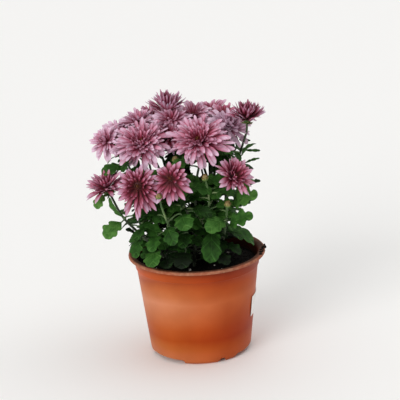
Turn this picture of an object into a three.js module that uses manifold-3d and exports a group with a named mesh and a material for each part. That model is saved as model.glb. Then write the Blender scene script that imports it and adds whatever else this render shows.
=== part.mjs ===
// Pot chrysanthemum: a plastic grower's pot filled with potting mix, six leafy stems
// with buds, and nineteen blooms. Millimetres, +Z up, front towards -Y.
// The origin is the middle of the flat pad under the pot.

import * as THREE from 'three';
import { mergeVertices } from 'three/addons/utils/BufferGeometryUtils.js';
import Module from 'manifold-3d';

const wasm = await Module();
wasm.setup();

// ---- Driving dimensions ----

const gap = 0.3;                 // between any two pieces

const pot = {
  height: 97.5,
  rimRadius: 65,
  lipDepth: 2.8,                 // height of the turned-down lip
  mouthRadius: 60,
  shoulderRadius: 59.4,          // outside, just under the lip
  shoulderFoot: 84,              // height at which the shoulder band begins
  bodyTopRadius: 57.8,
  bodyFootRadius: 48.9,
  bodyFootHeight: 8,
  wall: 1.4,
  floorHeight: 4,                // clear height of the arches under the pot
  footOuter: 46,
  footInner: 42.6,
  padRadius: 10,
  segments: 30,
};

const soilTop = 86;              // at the wall
const soilCrown = 88.5;          // in the middle
const stemDepth = 18;            // how far each stem stands in the soil

const label = { angle: -10, width: 28, top: 56, bottom: 36, thickness: 0.6, segments: 4 };

const stemRadius = 1.6;
const stalkRadius = 1.05;
const budStalkRadius = 0.9;
const petioleWidth = 1.3;
const petalThickness = 0.9;
const bellyShare = 0.62;         // how far along a petal it is widest
const leafThickness = 0.7;
const leafGrowth = 1.15;         // every leaf against its listed size

// How far a crowded petal closes, in degrees, and the share of its length that it keeps.
const closingSteps = [
  [0, 1], [12, 1], [24, 1], [36, 1], [24, 0.8], [40, 0.8], [52, 0.8], [24, 0.6], [50, 0.6],
];
// How far a crowded leaf swings up and aside about its neck, in degrees.
const swings = [
  [0, 0], [12, 0], [-12, 0], [0, 15], [0, -15], [24, 0], [-24, 0], [12, 25], [12, -25], [36, 0], [-36, 0],
];

// ---- Blooms ----
// heart: where the petals spring from; face: turn from the front and rise, in degrees;
// reach: length of the outermost petals; rows: petals in each row, outermost first;
// open, shut: lean of the outermost and innermost rows from the axis, in degrees;
// droop: how much longer the lower petals are; crown: share of the reach that the innermost
// petals have, 0.58 unless given. The first listed keep their shape, and later ones give way.

const blooms = {
  bloom_01: { heart: [10, -30, 206], face: [-4, 38], reach: 29, rows: [16, 12, 9, 6], open: 98, shut: 14 },
  bloom_02: { heart: [-46, -24, 208], face: [-8, 52], reach: 26, rows: [14, 11, 8, 5], open: 98, shut: 14 },
  bloom_03: { heart: [-76, -8, 208], face: [-35, 35], reach: 17, rows: [9, 7, 4], open: 94, shut: 18 },
  bloom_04: {
    heart: [-21, 8, 224], face: [-10, 80], reach: 18, rows: [10, 8, 5], open: 74, shut: 8, crown: 1.35,
  },
  bloom_05: { heart: [-50, 24, 221], face: [-10, 66], reach: 18, rows: [9, 6, 4], open: 92, shut: 18 },
  bloom_06: { heart: [-72, 24, 210], face: [-40, 55], reach: 18, rows: [9, 6], open: 90, shut: 34 },
  bloom_07: { heart: [3, 34, 223], face: [0, 68], reach: 16, rows: [9, 6], open: 84, shut: 28 },
  bloom_08: { heart: [19, 54, 219], face: [150, 74], reach: 16, rows: [8, 4], open: 88, shut: 28 },
  bloom_09: { heart: [34, 38, 217], face: [30, 62], reach: 17, rows: [9, 6], open: 86, shut: 28 },
  bloom_10: { heart: [35, 11, 213], face: [20, 52], reach: 17, rows: [9, 6], open: 90, shut: 30 },
  bloom_11: {
    heart: [53, -2, 222], face: [12, 80], reach: 17, rows: [9, 7, 4], open: 74, shut: 14, crown: 0.75,
  },
  bloom_12: {
    heart: [-49, -52, 178], face: [-8, 10], reach: 18, rows: [12, 8, 5], open: 92, shut: 24, droop: 0.6,
  },
  bloom_13: { heart: [-76, -32, 169], face: [-35, 50], reach: 19, rows: [8, 6, 4], open: 84, shut: 18 },
  bloom_14: {
    heart: [-20, -57, 184], face: [-5, 22], reach: 16, rows: [10, 7], open: 88, shut: 48, droop: 0.6,
  },
  bloom_15: { heart: [33, -44, 177], face: [-26, 24], reach: 20, rows: [11, 8, 4], open: 88, shut: 26 },
  bloom_16: { heart: [-22, -8, 211], face: [0, 45], reach: 12, rows: [8, 5], open: 80, shut: 34 },
  bloom_17: { heart: [-37, 47, 219], face: [200, 66], reach: 16, rows: [8, 4], open: 92, shut: 30 },
  bloom_18: { heart: [-50, 60, 190], face: [216, 40], reach: 20, rows: [10, 7, 3], open: 94, shut: 24 },
  bloom_19: { heart: [18, 68, 190], face: [165, 40], reach: 20, rows: [10, 7, 3], open: 94, shut: 24 },
};

// ---- Leafy stems ----
// root: where the stem stands in the soil; main: points that its trunk runs through;
// stalks: [bloom, height up the trunk from 0 to 1, points on the way];
// buds: [place, height up the trunk, points on the way];
// leaves: [neck, tip, width, roll about its own length in degrees].

const stems = {
  leafy_stem_1: {
    root: [-25, -17],
    main: [[-38, -25, 110], [-54, -29, 128]],
    stalks: [
      ['bloom_13', 1, [[-66, -31, 143]]],
      ['bloom_12', 0.9, [[-53, -30, 150]]],
    ],
    buds: [],
    leaves: [
      [[-67, -40, 141], [-80, -50, 131], 17, 0],
      [[-82, -32, 163], [-90, -37, 153], 11, 0],
      [[-64, -36, 144], [-75, -38, 162], 8, 40],
      [[-50, -44, 125], [-54, -58, 114], 15, 0],
      [[-55, -32, 125], [-63, -35, 131], 9, 0],
      [[-44, -36, 133], [-53, -50, 127], 14, 0],
      [[-37, -50, 116], [-39, -66, 107], 17, 0],
      [[-32, -30, 111], [-48, -42, 107], 17, 0],
      [[-42, -18, 112], [-60, -16, 106], 18, 0],
      [[-48, -30, 137], [-42, -44, 147], 13, 0],
    ],
  },
  leafy_stem_2: {
    root: [-31, 4],
    main: [[-35, 2, 120], [-45, 0, 158]],
    stalks: [
      ['bloom_02', 1, [[-46, -8, 180]]],
      ['bloom_03', 0.9, [[-62, 0, 182]]],
      ['bloom_06', 0.8, [[-60, 10, 180]]],
    ],
    buds: [],
    leaves: [
      [[-63, -18, 187], [-80, -28, 185], 14, 0],
      [[-70, -2, 193], [-77, -8, 189], 7, 0],
      [[-50, 4, 128], [-68, 8, 120], 18, 0],
      [[-55, 14, 158], [-74, 20, 160], 17, 0],
      [[-52, -8, 148], [-68, -10, 154], 15, 0],
      [[-46, 8, 106], [-62, 12, 101], 18, 0],
      [[-44, -4, 172], [-60, -12, 177], 14, 0],
      [[-42, 6, 142], [-58, 16, 138], 18, 0],
      [[-38, -6, 116], [-54, -14, 120], 16, 0],
    ],
  },
  leafy_stem_3: {
    root: [-3, -21],
    main: [[0, -23, 120], [1, -26, 147]],
    stalks: [
      ['bloom_01', 1, [[2, -29, 170]]],
      ['bloom_14', 0.78, [[-10, -36, 156]]],
    ],
    buds: [
      [[-15, -20, 192], 0.9, [[-9, -21, 166]]],
      [[-32, -56, 168], 0.55, [[-21, -42, 130], [-25, -46, 141], [-29, -53, 158]]],
      [[11, -44, 179], 0.75, [[13, -36, 150], [13, -41, 168]]],
    ],
    leaves: [
      [[-33, -42, 147], [-50, -52, 144], 12, 0],
      [[-12, -46, 147], [-8, -63, 139], 19, 0],
      [[-25, -51, 138], [-20, -66, 127], 15, 0],
      [[-34, -44, 128], [-39, -59, 119], 16, 0],
      [[-12, -42, 152], [-2, -48, 168], 10, 0],
      [[-2, -38, 150], [13, -52, 147], 12, 0],
      [[14, -38, 126], [12, -57, 107], 22, 0],
      [[-10, -45, 111], [-14, -60, 102], 20, 0],
      [[-28, -44, 107], [-26, -58, 102], 15, 0],
      [[-7, -40, 127], [-12, -56, 120], 15, 0],
      [[-24, -34, 152], [-37, -44, 155], 9, 0],
      [[18, -38, 104], [27, -48, 99], 16, 0],
      [[4, -30, 117], [20, -42, 121], 15, 0],
      [[-6, -24, 134], [-22, -31, 139], 16, 0],
      [[6, -22, 158], [19, -26, 167], 14, 0],
      [[-6, -20, 111], [-22, -28, 104], 18, 0],
    ],
  },
  leafy_stem_4: {
    root: [23, -9],
    main: [[25, -12, 120], [29, -16, 148]],
    stalks: [
      ['bloom_15', 0.9, [[30, -28, 162]]],
      ['bloom_11', 1, [[40, 0, 176], [47, 1, 197]]],
      ['bloom_10', 1, [[32, 4, 180]]],
    ],
    buds: [
      [[30, -46, 154], 0.6, [[28, -34, 132]]],
    ],
    leaves: [
      [[27, -44, 139], [12, -58, 135], 17, 0],
      [[36, -30, 150], [55, -42, 160], 22, 0],
      [[38, -22, 158], [54, -26, 168], 16, 0],
      [[31, -38, 132], [50, -46, 142], 14, 0],
      [[52, -14, 162], [61, -15, 166], 9, 0],
      [[46, 0, 188], [58, -3, 198], 9, 0],
      [[48, 4, 192], [62, 8, 190], 6, 60],
      [[46, 6, 202], [56, 8, 199], 5, 60],
      [[49, 2, 180], [61, 0, 184], 6, 60],
      [[36, 4, 186], [40, 8, 207], 9, 0],
      [[27, -16, 121], [51, -11, 106], 20, 0],
      [[25, -24, 109], [39, -28, 102], 14, 0],
      [[20, -12, 152], [24, -14, 170], 15, 0],
      [[30, -6, 112], [47, 2, 105], 18, 0],
      [[34, -8, 140], [53, -3, 146], 18, 0],
      [[22, -18, 134], [8, -26, 140], 15, 0],
      [[38, 4, 168], [54, 12, 172], 15, 0],
    ],
  },
  leafy_stem_5: {
    root: [-12, 18],
    main: [[-16, 22, 120], [-22, 24, 160]],
    stalks: [
      ['bloom_04', 1, [[-21, 14, 195]]],
      ['bloom_16', 0.95, [[-22, 8, 185]]],
      ['bloom_05', 0.9, [[-40, 26, 190]]],
      ['bloom_17', 0.92, [[-31, 36, 190]]],
      ['bloom_18', 0.6, [[-38, 40, 155]]],
    ],
    buds: [],
    leaves: [
      [[-30, 36, 130], [-44, 50, 122], 19, 0],
      [[-14, 42, 116], [-16, 60, 110], 20, 0],
      [[-44, 40, 152], [-60, 48, 148], 16, 0],
      [[-24, 44, 164], [-26, 62, 162], 17, 0],
      [[-30, 26, 106], [-46, 34, 101], 18, 0],
      [[-14, 12, 140], [-22, -3, 147], 15, 0],
      [[-26, 30, 178], [-42, 32, 184], 14, 0],
      [[-8, 27, 104], [2, 43, 100], 17, 0],
    ],
  },
  leafy_stem_6: {
    root: [12, 20],
    main: [[14, 24, 120], [16, 30, 160]],
    stalks: [
      ['bloom_07', 0.95, [[6, 32, 190]]],
      ['bloom_08', 1, [[17, 46, 190]]],
      ['bloom_09', 0.92, [[28, 34, 188]]],
      ['bloom_19', 0.65, [[18, 46, 160]]],
    ],
    buds: [
      [[2, 54, 196], 0.85, [[6, 46, 176]]],
    ],
    leaves: [
      [[30, 34, 132], [46, 46, 126], 20, 0],
      [[12, 44, 118], [14, 62, 112], 20, 0],
      [[34, 30, 156], [52, 34, 158], 17, 0],
      [[4, 48, 148], [-2, 66, 144], 17, 0],
      [[32, 22, 106], [48, 26, 101], 18, 0],
      [[28, 50, 168], [40, 64, 164], 14, 0],
      [[20, 34, 180], [35, 30, 187], 14, 0],
      [[8, 20, 136], [1, 4, 142], 15, 0],
      [[22, 14, 112], [38, 8, 107], 18, 0],
    ],
  },
};

// Outline of half a leaf with its rounded lobes: along the midrib, then out from it,
// as shares of the leaf's length and width.
const leafSide = [[0, 0.06], [0.24, 0.44], [0.4, 0.3], [0.64, 0.5], [0.82, 0.28]];
const ribPlace = 0.42;
const leafArch = 0.14;
const leafFold = 0.16;

// ---- Helpers ----

const v3 = (p) => new THREE.Vector3(...p);
const radians = THREE.MathUtils.degToRad;
const jitter = (n) => {
  const s = Math.sin(n * 12.9898) * 43758.5453;
  return (s - Math.floor(s)) * 2 - 1;
};

function solid(geometry) {
  const bare = geometry.index ? geometry.clone() : geometry;
  bare.deleteAttribute('normal');
  bare.deleteAttribute('uv');
  const merged = mergeVertices(bare, 1e-4);
  return new wasm.Manifold(new wasm.Mesh({
    numProp: 3,
    vertProperties: new Float32Array(merged.attributes.position.array),
    triVerts: new Uint32Array(merged.index.array),
  }));
}

// Closed geometry from a list of points and a list of corner triples.
function polyhedron(points, faces) {
  const geometry = new THREE.BufferGeometry();
  const numbers = points.flatMap((point) => point.toArray());
  geometry.setAttribute('position', new THREE.Float32BufferAttribute(numbers, 3));
  geometry.setIndex(faces.flat());
  return geometry;
}

// The largest closed skin of a fused solid: scrap is dropped and sealed hollows are filled.
function mainBody(fused) {
  const skins = fused.decompose();
  return skins.reduce((best, skin) => (skin.volume() > best.volume() ? skin : best));
}

function toMesh(name, fused, material) {
  const result = fused.getMesh();
  const geometry = new THREE.BufferGeometry();
  geometry.setAttribute('position', new THREE.Float32BufferAttribute(result.vertProperties, 3));
  geometry.setIndex(new THREE.Uint32BufferAttribute(result.triVerts, 1));
  geometry.computeVertexNormals();
  const mesh = new THREE.Mesh(geometry, material);
  mesh.name = name;
  return mesh;
}

// A turned solid about +Z from points of radius and height.
function turned(profile, segments) {
  const points = profile.map(([r, z]) => new THREE.Vector2(r, z));
  const geometry = new THREE.LatheGeometry(points, segments);
  geometry.rotateX(Math.PI / 2);
  return geometry;
}

// Turns geometry whose axis is +Z towards a direction and moves it to a point.
function aimed(geometry, direction, point) {
  const turn = new THREE.Quaternion().setFromUnitVectors(new THREE.Vector3(0, 0, 1), direction);
  geometry.applyQuaternion(turn);
  geometry.translate(point.x, point.y, point.z);
  return geometry;
}

function tube(curve, radius, sides, steps) {
  const ring = new THREE.Shape();
  for (let i = 0; i < sides; i += 1) {
    const a = (i / sides) * Math.PI * 2;
    const point = [radius * Math.cos(a), radius * Math.sin(a)];
    if (i === 0) ring.moveTo(...point);
    else ring.lineTo(...point);
  }
  ring.closePath();
  const geometry = new THREE.ExtrudeGeometry(ring, { steps, extrudePath: curve, bevelEnabled: false });
  return solid(geometry);
}

// ---- Pot, soil and label ----

// Outside of the wall at a height, between the corner above the foot and the shoulder.
function wallOuter(z) {
  const share = (z - pot.bodyFootHeight) / (pot.shoulderFoot - pot.bodyFootHeight);
  return pot.bodyFootRadius + (pot.bodyTopRadius - pot.bodyFootRadius) * share;
}

const floorTop = pot.floorHeight + pot.wall;
const innerFoot = pot.bodyFootRadius - pot.wall;
const shoulderRise = 0.9;
const cavity = [
  [0, floorTop],
  [innerFoot - 2.4, floorTop],
  [innerFoot, pot.bodyFootHeight + 1],
  [wallOuter(pot.shoulderFoot) - pot.wall, pot.shoulderFoot],
  [pot.shoulderRadius - 0.5 - pot.wall, pot.shoulderFoot + shoulderRise],
];

function makePot() {
  const lipFoot = pot.height - pot.lipDepth;
  const outside = [
    [0, pot.floorHeight],
    [pot.footInner, pot.floorHeight],
    [pot.footInner, 0],
    [pot.footOuter, 0],
    [pot.footOuter + 2.1, 3],
    [pot.bodyFootRadius, pot.bodyFootHeight],
    [wallOuter(pot.shoulderFoot), pot.shoulderFoot],
    [pot.shoulderRadius - 0.5, pot.shoulderFoot + shoulderRise],
    [pot.shoulderRadius, lipFoot + 1.2],
    [pot.rimRadius - 1.3, lipFoot + 1],
    [pot.rimRadius - 1.1, lipFoot],
    [pot.rimRadius, lipFoot + 0.2],
    [pot.rimRadius - 0.2, pot.height - 0.4],
    [pot.mouthRadius, pot.height],
    [pot.shoulderRadius - pot.wall, pot.height - 2],
  ];
  const profile = [...outside, ...cavity.toReversed()];
  let body = solid(turned(profile, pot.segments));
  const pad = new THREE.CylinderGeometry(pot.padRadius, pot.padRadius + 1, pot.floorHeight + 0.5, 18);
  pad.rotateX(-Math.PI / 2);
  pad.translate(0, 0, (pot.floorHeight + 0.5) / 2);
  body = body.add(solid(pad));
  for (let i = 0; i < 3; i += 1) {
    for (const [from, to] of [[22.5, 27], [45, 97.5]]) {
      body = body.subtract(archCutter(from + 120 * i, to + 120 * i));
    }
  }
  return body;
}

// Cuts a gap through the foot ring between two angles, counted from the front.
function archCutter(from, to) {
  const start = radians(from - 90);
  const end = radians(to - 90);
  const inside = pot.footInner - 3;
  const outside = pot.footOuter + 3;
  const shape = new THREE.Shape();
  shape.absarc(0, 0, outside, start, end, false);
  shape.absarc(0, 0, inside, end, start, true);
  const geometry = new THREE.ExtrudeGeometry(shape, {
    depth: pot.floorHeight + 1, curveSegments: 6, bevelEnabled: false,
  });
  geometry.translate(0, 0, -1);
  return solid(geometry);
}

function makeSoil() {
  const inset = cavity.map(([r, z]) => [Math.max(0, r - gap), z + (z < 10 ? gap : 0)]);
  const profile = [
    ...inset,
    [inset.at(-1)[0], soilTop],
    [26, soilCrown - 0.4],
    [0, soilCrown],
  ];
  let mix = solid(turned(profile, pot.segments));
  for (const { root } of Object.values(stems)) {
    const radius = stemRadius + gap + 0.2;
    const hole = new THREE.CylinderGeometry(radius, radius, stemDepth + 10, 8);
    hole.rotateX(Math.PI / 2);
    hole.translate(root[0], root[1], soilCrown - stemDepth + (stemDepth + 10) / 2 - gap);
    mix = mix.subtract(solid(hole));
  }
  return mix;
}

// A blank paper label, curved to the wall and held just off it.
function makeLabel() {
  const start = radians(label.angle) - label.width / 2 / wallOuter(label.top);
  const sweep = label.width / wallOuter(label.top);
  const points = [];
  const faces = [];
  for (let i = 0; i <= label.segments; i += 1) {
    const a = start + (sweep * i) / label.segments;
    for (const [z, off] of [[label.bottom, 0], [label.bottom, 1], [label.top, 1], [label.top, 0]]) {
      const r = wallOuter(z) + gap + off * label.thickness;
      points.push(new THREE.Vector3(r * Math.cos(a), r * Math.sin(a), z));
    }
  }
  for (let i = 0; i < label.segments; i += 1) {
    for (let k = 0; k < 4; k += 1) {
      const a = i * 4 + k;
      const b = i * 4 + ((k + 1) % 4);
      faces.push([a, a + 4, b], [b, a + 4, b + 4]);
    }
  }
  const end = label.segments * 4;
  faces.push([0, 1, 2], [0, 2, 3], [end, end + 2, end + 1], [end, end + 3, end + 2]);
  return solid(polyhedron(points, faces));
}

// ---- Blades: petals and leaves ----

// A petal: a kite from a root inside the core to a pointed tip, with a keel underneath.
function petalBlade(petal, extra = 0) {
  const { foot, radial, axis, side, lean, curl, length, width } = petal;
  const along = (angle) => axis.clone()
    .multiplyScalar(Math.cos(angle))
    .addScaledVector(radial, Math.sin(angle));
  const over = axis.clone().multiplyScalar(Math.sin(lean)).addScaledVector(radial, -Math.cos(lean));
  const belly = foot.clone().addScaledVector(along(lean), length * bellyShare);
  const tip = belly.clone().addScaledVector(along(lean + curl), length * (1 - bellyShare) + extra);
  const points = [
    foot,
    belly.clone().addScaledVector(side, -width / 2 - extra).addScaledVector(over, petalThickness / 2 + extra),
    belly.clone().addScaledVector(side, width / 2 + extra).addScaledVector(over, petalThickness / 2 + extra),
    belly.clone().addScaledVector(over, -petalThickness / 2 - extra),
    tip,
  ];
  return solid(polyhedron(points, [[0, 1, 2], [0, 2, 3], [0, 3, 1], [4, 2, 1], [4, 3, 2], [4, 1, 3]]));
}

// A lobed leaf with its stalk, from a foot inside the stem, with the same triangles on both faces.
function leafBlade(foot, neck, tip, width, roll, extra = 0) {
  const along = tip.clone().sub(neck);
  const length = along.length();
  along.normalize();
  const outward = new THREE.Vector3(neck.x, neck.y, 0).normalize();
  const up = new THREE.Vector3(0, 0, 0.8).addScaledVector(outward, 0.6);
  const side = up.clone().cross(along).normalize();
  const face = along.clone().cross(side).normalize();
  side.applyAxisAngle(along, radians(roll));
  face.applyAxisAngle(along, radians(roll));
  const place = (s, v, lift) => neck.clone()
    .addScaledVector(along, length * s + (s === 1 ? extra : 0))
    .addScaledVector(side, width * v + Math.sign(v) * extra)
    .addScaledVector(face, leafArch * length * 4 * s * (1 - s) + leafFold * width * Math.abs(v) + lift);
  const outline = [...leafSide, [1, 0], ...leafSide.toReversed().map(([s, v]) => [s, -v])];
  const half = leafThickness / 2 + extra;
  const stalk = petioleWidth / 2 + extra;
  const points = [
    ...outline.map(([s, v]) => place(s, v, half)),
    place(ribPlace, 0, half),
    ...outline.map(([s, v]) => place(s, v, -half)),
    place(ribPlace, 0, -half),
    foot.clone().addScaledVector(side, stalk).addScaledVector(face, half),
    foot.clone().addScaledVector(side, -stalk).addScaledVector(face, half),
    foot.clone().addScaledVector(side, -stalk).addScaledVector(face, -half),
    foot.clone().addScaledVector(side, stalk).addScaledVector(face, -half),
  ];
  const edge = outline.length;
  const layer = edge + 1;
  const top = [];
  for (let k = 0; k < edge; k += 1) {
    top.push([k, (k + 1) % edge, edge]);
  }
  const faces = [];
  for (const [a, b, c] of top) {
    faces.push([a, c, b], [layer + a, layer + b, layer + c]);
  }
  for (let k = 0; k < edge - 1; k += 1) {
    faces.push([k, k + 1, layer + k], [k + 1, layer + k + 1, layer + k]);
  }
  const root = 2 * layer;
  const neckRing = [0, edge - 1, layer + edge - 1, layer];
  for (let k = 0; k < 4; k += 1) {
    const n = (k + 1) % 4;
    faces.push([neckRing[k], root + k, neckRing[n]], [neckRing[n], root + k, root + n]);
  }
  faces.push([root, root + 3, root + 2], [root, root + 2, root + 1]);
  return solid(polyhedron(points, faces));
}

// ---- Blooms ----

// The frame of a bloom: its heart, its axis and two directions across it.
function bloomFrame({ heart, face }) {
  const [turn, rise] = face.map(radians);
  const level = Math.cos(rise);
  const axis = new THREE.Vector3(Math.sin(turn) * level, -Math.cos(turn) * level, Math.sin(rise));
  const across = new THREE.Vector3(0, 0, 1).cross(axis).normalize();
  const up = axis.clone().cross(across).normalize();
  return { heart: v3(heart), axis, across, up };
}

const coreRadius = (bloom) => 2.6 + bloom.reach * 0.07;
const petalWidth = (bloom) => 4 + bloom.reach * 0.16;

// One petal of a row: inward is 0 in the outermost row and 1 in the innermost.
function petalOf(bloom, frame, inward, count, turn, seed) {
  const { heart, axis, across, up } = frame;
  const radial = across.clone().multiplyScalar(Math.cos(turn)).addScaledVector(up, Math.sin(turn));
  const hanging = 1 + (bloom.droop ?? 0) * Math.max(0, -radial.z);
  const share = 1 - (1 - (bloom.crown ?? 0.58)) * inward;
  const length = bloom.reach * share * hanging * (1 + 0.06 * jitter(seed + 5));
  const lean = radians(bloom.open + (bloom.shut - bloom.open) * inward + 4 * jitter(seed + 9));
  const room = (1.9 * Math.PI * (1 + bellyShare * length * Math.sin(lean))) / count;
  return {
    foot: heart.clone()
      .addScaledVector(axis, 0.9 + 2.6 * inward)
      .addScaledVector(radial, coreRadius(bloom) * 0.45 * (1 - inward)),
    radial,
    axis,
    side: axis.clone().cross(radial),
    lean,
    curl: radians(14 - 34 * inward),
    length,
    width: Math.min(petalWidth(bloom) * (1 - 0.25 * inward), room),
  };
}

// Every petal of a bloom, outermost row first.
function petalsOf(bloom, number) {
  const frame = bloomFrame(bloom);
  const last = bloom.rows.length - 1;
  return bloom.rows.flatMap((count, row) => Array.from({ length: count }, (_, i) => {
    const seed = number * 101 + row * 17 + i;
    const turn = ((i + row * 0.5 + jitter(seed) * 0.12) / count) * Math.PI * 2;
    return petalOf(bloom, frame, row / last, count, turn, seed);
  }));
}

// The domed middle that the petals spring from.
function bloomCore(bloom) {
  const { heart, axis } = bloomFrame(bloom);
  const r = coreRadius(bloom);
  const profile = [[0, 0], [r * 0.9, 0], [r, 2], [0, 5]];
  return solid(aimed(turned(profile, 5), axis, heart));
}

// ---- Clearance ----

const placed = new Map();

function clears(blade, own) {
  for (const [name, neighbour] of placed) {
    if (name !== own && !blade.intersect(neighbour).isEmpty()) return false;
  }
  return true;
}

// A petal in the way of a neighbour closes up towards the axis, then stays shorter.
function makeBloom(name, bloom, number) {
  const parts = [bloomCore(bloom)];
  for (const petal of petalsOf(bloom, number)) {
    for (const [close, share] of closingSteps) {
      const tried = { ...petal, lean: petal.lean - radians(close), length: petal.length * share };
      if (clears(petalBlade(tried, gap), name)) {
        parts.push(petalBlade(tried));
        break;
      }
    }
  }
  return mainBody(wasm.Manifold.union(parts));
}

// ---- Stems ----

function trunkCurve({ root, main }) {
  const [x, y] = root;
  const foot = soilCrown - stemDepth;
  const straight = [foot, foot + stemDepth / 2, soilCrown].map((z) => [x, y, z]);
  return new THREE.CatmullRomCurve3([...straight, ...main].map(v3));
}

// A stalk leaves the trunk, runs through its points and arrives along the bloom's axis.
function stalkCurve(trunk, height, way, end, axis) {
  const start = trunk.getPoint(height);
  const before = end.clone().addScaledVector(axis, -9);
  return new THREE.CatmullRomCurve3([start, ...way.map(v3), before, end]);
}

function calyx(bloom) {
  const { heart, axis } = bloomFrame(bloom);
  const r = coreRadius(bloom) * 0.9;
  const profile = [[0, -5], [r, -gap - 1], [r * 0.92, -gap], [0, -gap]];
  return solid(aimed(turned(profile, 6), axis, heart));
}

function bud(place, axis) {
  const profile = [[0, -2.6], [3.2, -1], [3.8, 1.6], [2, 4.4], [0, 4.8]];
  return solid(aimed(turned(profile, 6), axis, v3(place)));
}

// The stem's curves with the radius of each, and its solid without leaves.
function stemFrame(stem) {
  const trunk = trunkCurve(stem);
  const curves = [trunk];
  const parts = [tube(trunk, stemRadius, 5, 7)];
  for (const [name, height, way] of stem.stalks) {
    const { heart, axis } = bloomFrame(blooms[name]);
    const curve = stalkCurve(trunk, height, way, heart.clone().addScaledVector(axis, -2.5), axis);
    curves.push(curve);
    parts.push(tube(curve, stalkRadius, 4, 5), calyx(blooms[name]));
  }
  for (const [place, height, way] of stem.buds) {
    const rise = v3(place).sub(v3(way.at(-1))).normalize();
    const curve = stalkCurve(trunk, height, way, v3(place), rise);
    curves.push(curve);
    parts.push(tube(curve, budStalkRadius, 4, 4), bud(place, rise));
  }
  return { curves, body: wasm.Manifold.union(parts) };
}

// The place on the stem where a leaf's short stalk starts.
function leafFoot(curves, neck) {
  let best = null;
  let least = Infinity;
  for (const curve of curves) {
    for (let i = 2; i <= 30; i += 1) {
      const point = curve.getPoint(i / 32);
      const cost = point.distanceTo(neck) + Math.max(0, point.z - neck.z) * 1.5;
      if (cost < least) {
        least = cost;
        best = point;
      }
    }
  }
  return best;
}

// Each leaf is swung about its neck, up or down and then sideways, until it clears.
function growLeaves(name, stem, frame) {
  const parts = [frame.body];
  for (const [neckAt, tipAt, listedWidth, roll] of stem.leaves) {
    const width = listedWidth * leafGrowth;
    const neck = v3(neckAt);
    const blade = v3(tipAt).sub(neck).multiplyScalar(leafGrowth);
    const level = new THREE.Vector3(0, 0, 1).cross(blade).normalize();
    const foot = leafFoot(frame.curves, neck);
    for (const [pitch, yaw] of swings) {
      const turnedBlade = blade.clone().applyAxisAngle(level, radians(-pitch));
      turnedBlade.applyAxisAngle(new THREE.Vector3(0, 0, 1), radians(yaw));
      const tip = neck.clone().add(turnedBlade);
      if (clears(leafBlade(foot, neck, tip, width, roll, gap), name)) {
        parts.push(leafBlade(foot, neck, tip, width, roll));
        break;
      }
    }
  }
  return mainBody(wasm.Manifold.union(parts));
}

// ---- Materials and assembly ----

const finish = (color, roughness) => new THREE.MeshStandardMaterial({ color, roughness, metalness: 0 });
const terracotta = finish('#c4683f', 0.5);
const pottingMix = finish('#2c211b', 0.95);
const paper = finish('#f1efea', 0.8);
const foliage = finish('#356b33', 0.65);
const petalPink = finish('#b4648a', 0.7);

placed.set('pot', makePot());
placed.set('soil', makeSoil());
placed.set('label', makeLabel());
const frames = {};
for (const [name, stem] of Object.entries(stems)) {
  frames[name] = stemFrame(stem);
  placed.set(name, frames[name].body);
}
Object.entries(blooms).forEach(([name, bloom], number) => {
  placed.set(name, makeBloom(name, bloom, number));
});
for (const [name, stem] of Object.entries(stems)) {
  placed.set(name, growLeaves(name, stem, frames[name]));
}

const group = new THREE.Group();
const materials = { pot: terracotta, soil: pottingMix, label: paper };
for (const [name, body] of placed) {
  const material = materials[name] ?? (name.startsWith('bloom') ? petalPink : foliage);
  group.add(toMesh(name, body, material));
}

export default group;
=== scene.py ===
import math

import bmesh
import bpy
from mathutils import Matrix, Vector, noise


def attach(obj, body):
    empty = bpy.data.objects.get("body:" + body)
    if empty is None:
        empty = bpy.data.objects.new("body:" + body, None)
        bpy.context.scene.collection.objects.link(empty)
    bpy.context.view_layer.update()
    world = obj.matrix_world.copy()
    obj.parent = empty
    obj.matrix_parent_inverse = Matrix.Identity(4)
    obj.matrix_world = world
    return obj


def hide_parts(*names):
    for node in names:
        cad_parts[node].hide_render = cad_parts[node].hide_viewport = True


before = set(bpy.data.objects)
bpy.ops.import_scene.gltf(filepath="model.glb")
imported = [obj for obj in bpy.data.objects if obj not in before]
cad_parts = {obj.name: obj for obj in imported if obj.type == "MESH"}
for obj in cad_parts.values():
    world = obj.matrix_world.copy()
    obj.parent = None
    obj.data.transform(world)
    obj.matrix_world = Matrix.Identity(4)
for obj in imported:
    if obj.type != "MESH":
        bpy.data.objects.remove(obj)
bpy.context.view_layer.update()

# A pot chrysanthemum in bloom. Shapes are worked out in millimetres and placed in metres.
# +Z is up and -Y is the front.

scene = bpy.context.scene
toMetres = Matrix.Scale(0.001, 4)
fullTurn = 2 * math.pi
goldenTurn = math.radians(137.508)


# Node tools

def linear(hexColour):
    # an sRGB hex colour as linear red, green, blue and alpha
    levels = [int(hexColour[i:i + 2], 16) / 255 for i in (0, 2, 4)]
    return [(c / 12.92 if c <= 0.04045 else ((c + 0.055) / 1.055) ** 2.4) for c in levels] + [1.0]


def perMetre(size):
    # a noise texture's scale for spots of a size in mm
    return 1000 / size


def setInputs(tree, node, inputs):
    # an input is a value, a socket, or a node whose first output it takes
    for key, value in inputs.items():
        if isinstance(value, bpy.types.Node):
            value = value.outputs[0]
        if isinstance(value, bpy.types.NodeSocket):
            tree.links.new(value, node.inputs[key])
        else:
            node.inputs[key].default_value = value


def addNode(tree, kind, inputs=None, stops=(), **settings):
    # stops are those of a colour ramp: place and hex colour
    node = tree.nodes.new(kind)
    for key, value in settings.items():
        setattr(node, key, value)
    for i, (place, hexColour) in enumerate(stops):
        elements = node.color_ramp.elements
        element = elements[i] if i < len(elements) else elements.new(place)
        element.position = place
        element.color = linear(hexColour)
    setInputs(tree, node, inputs or {})
    return node


signs = {"+": "ADD", "-": "SUBTRACT", "*": "MULTIPLY", "/": "DIVIDE", "^": "POWER"}


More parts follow.
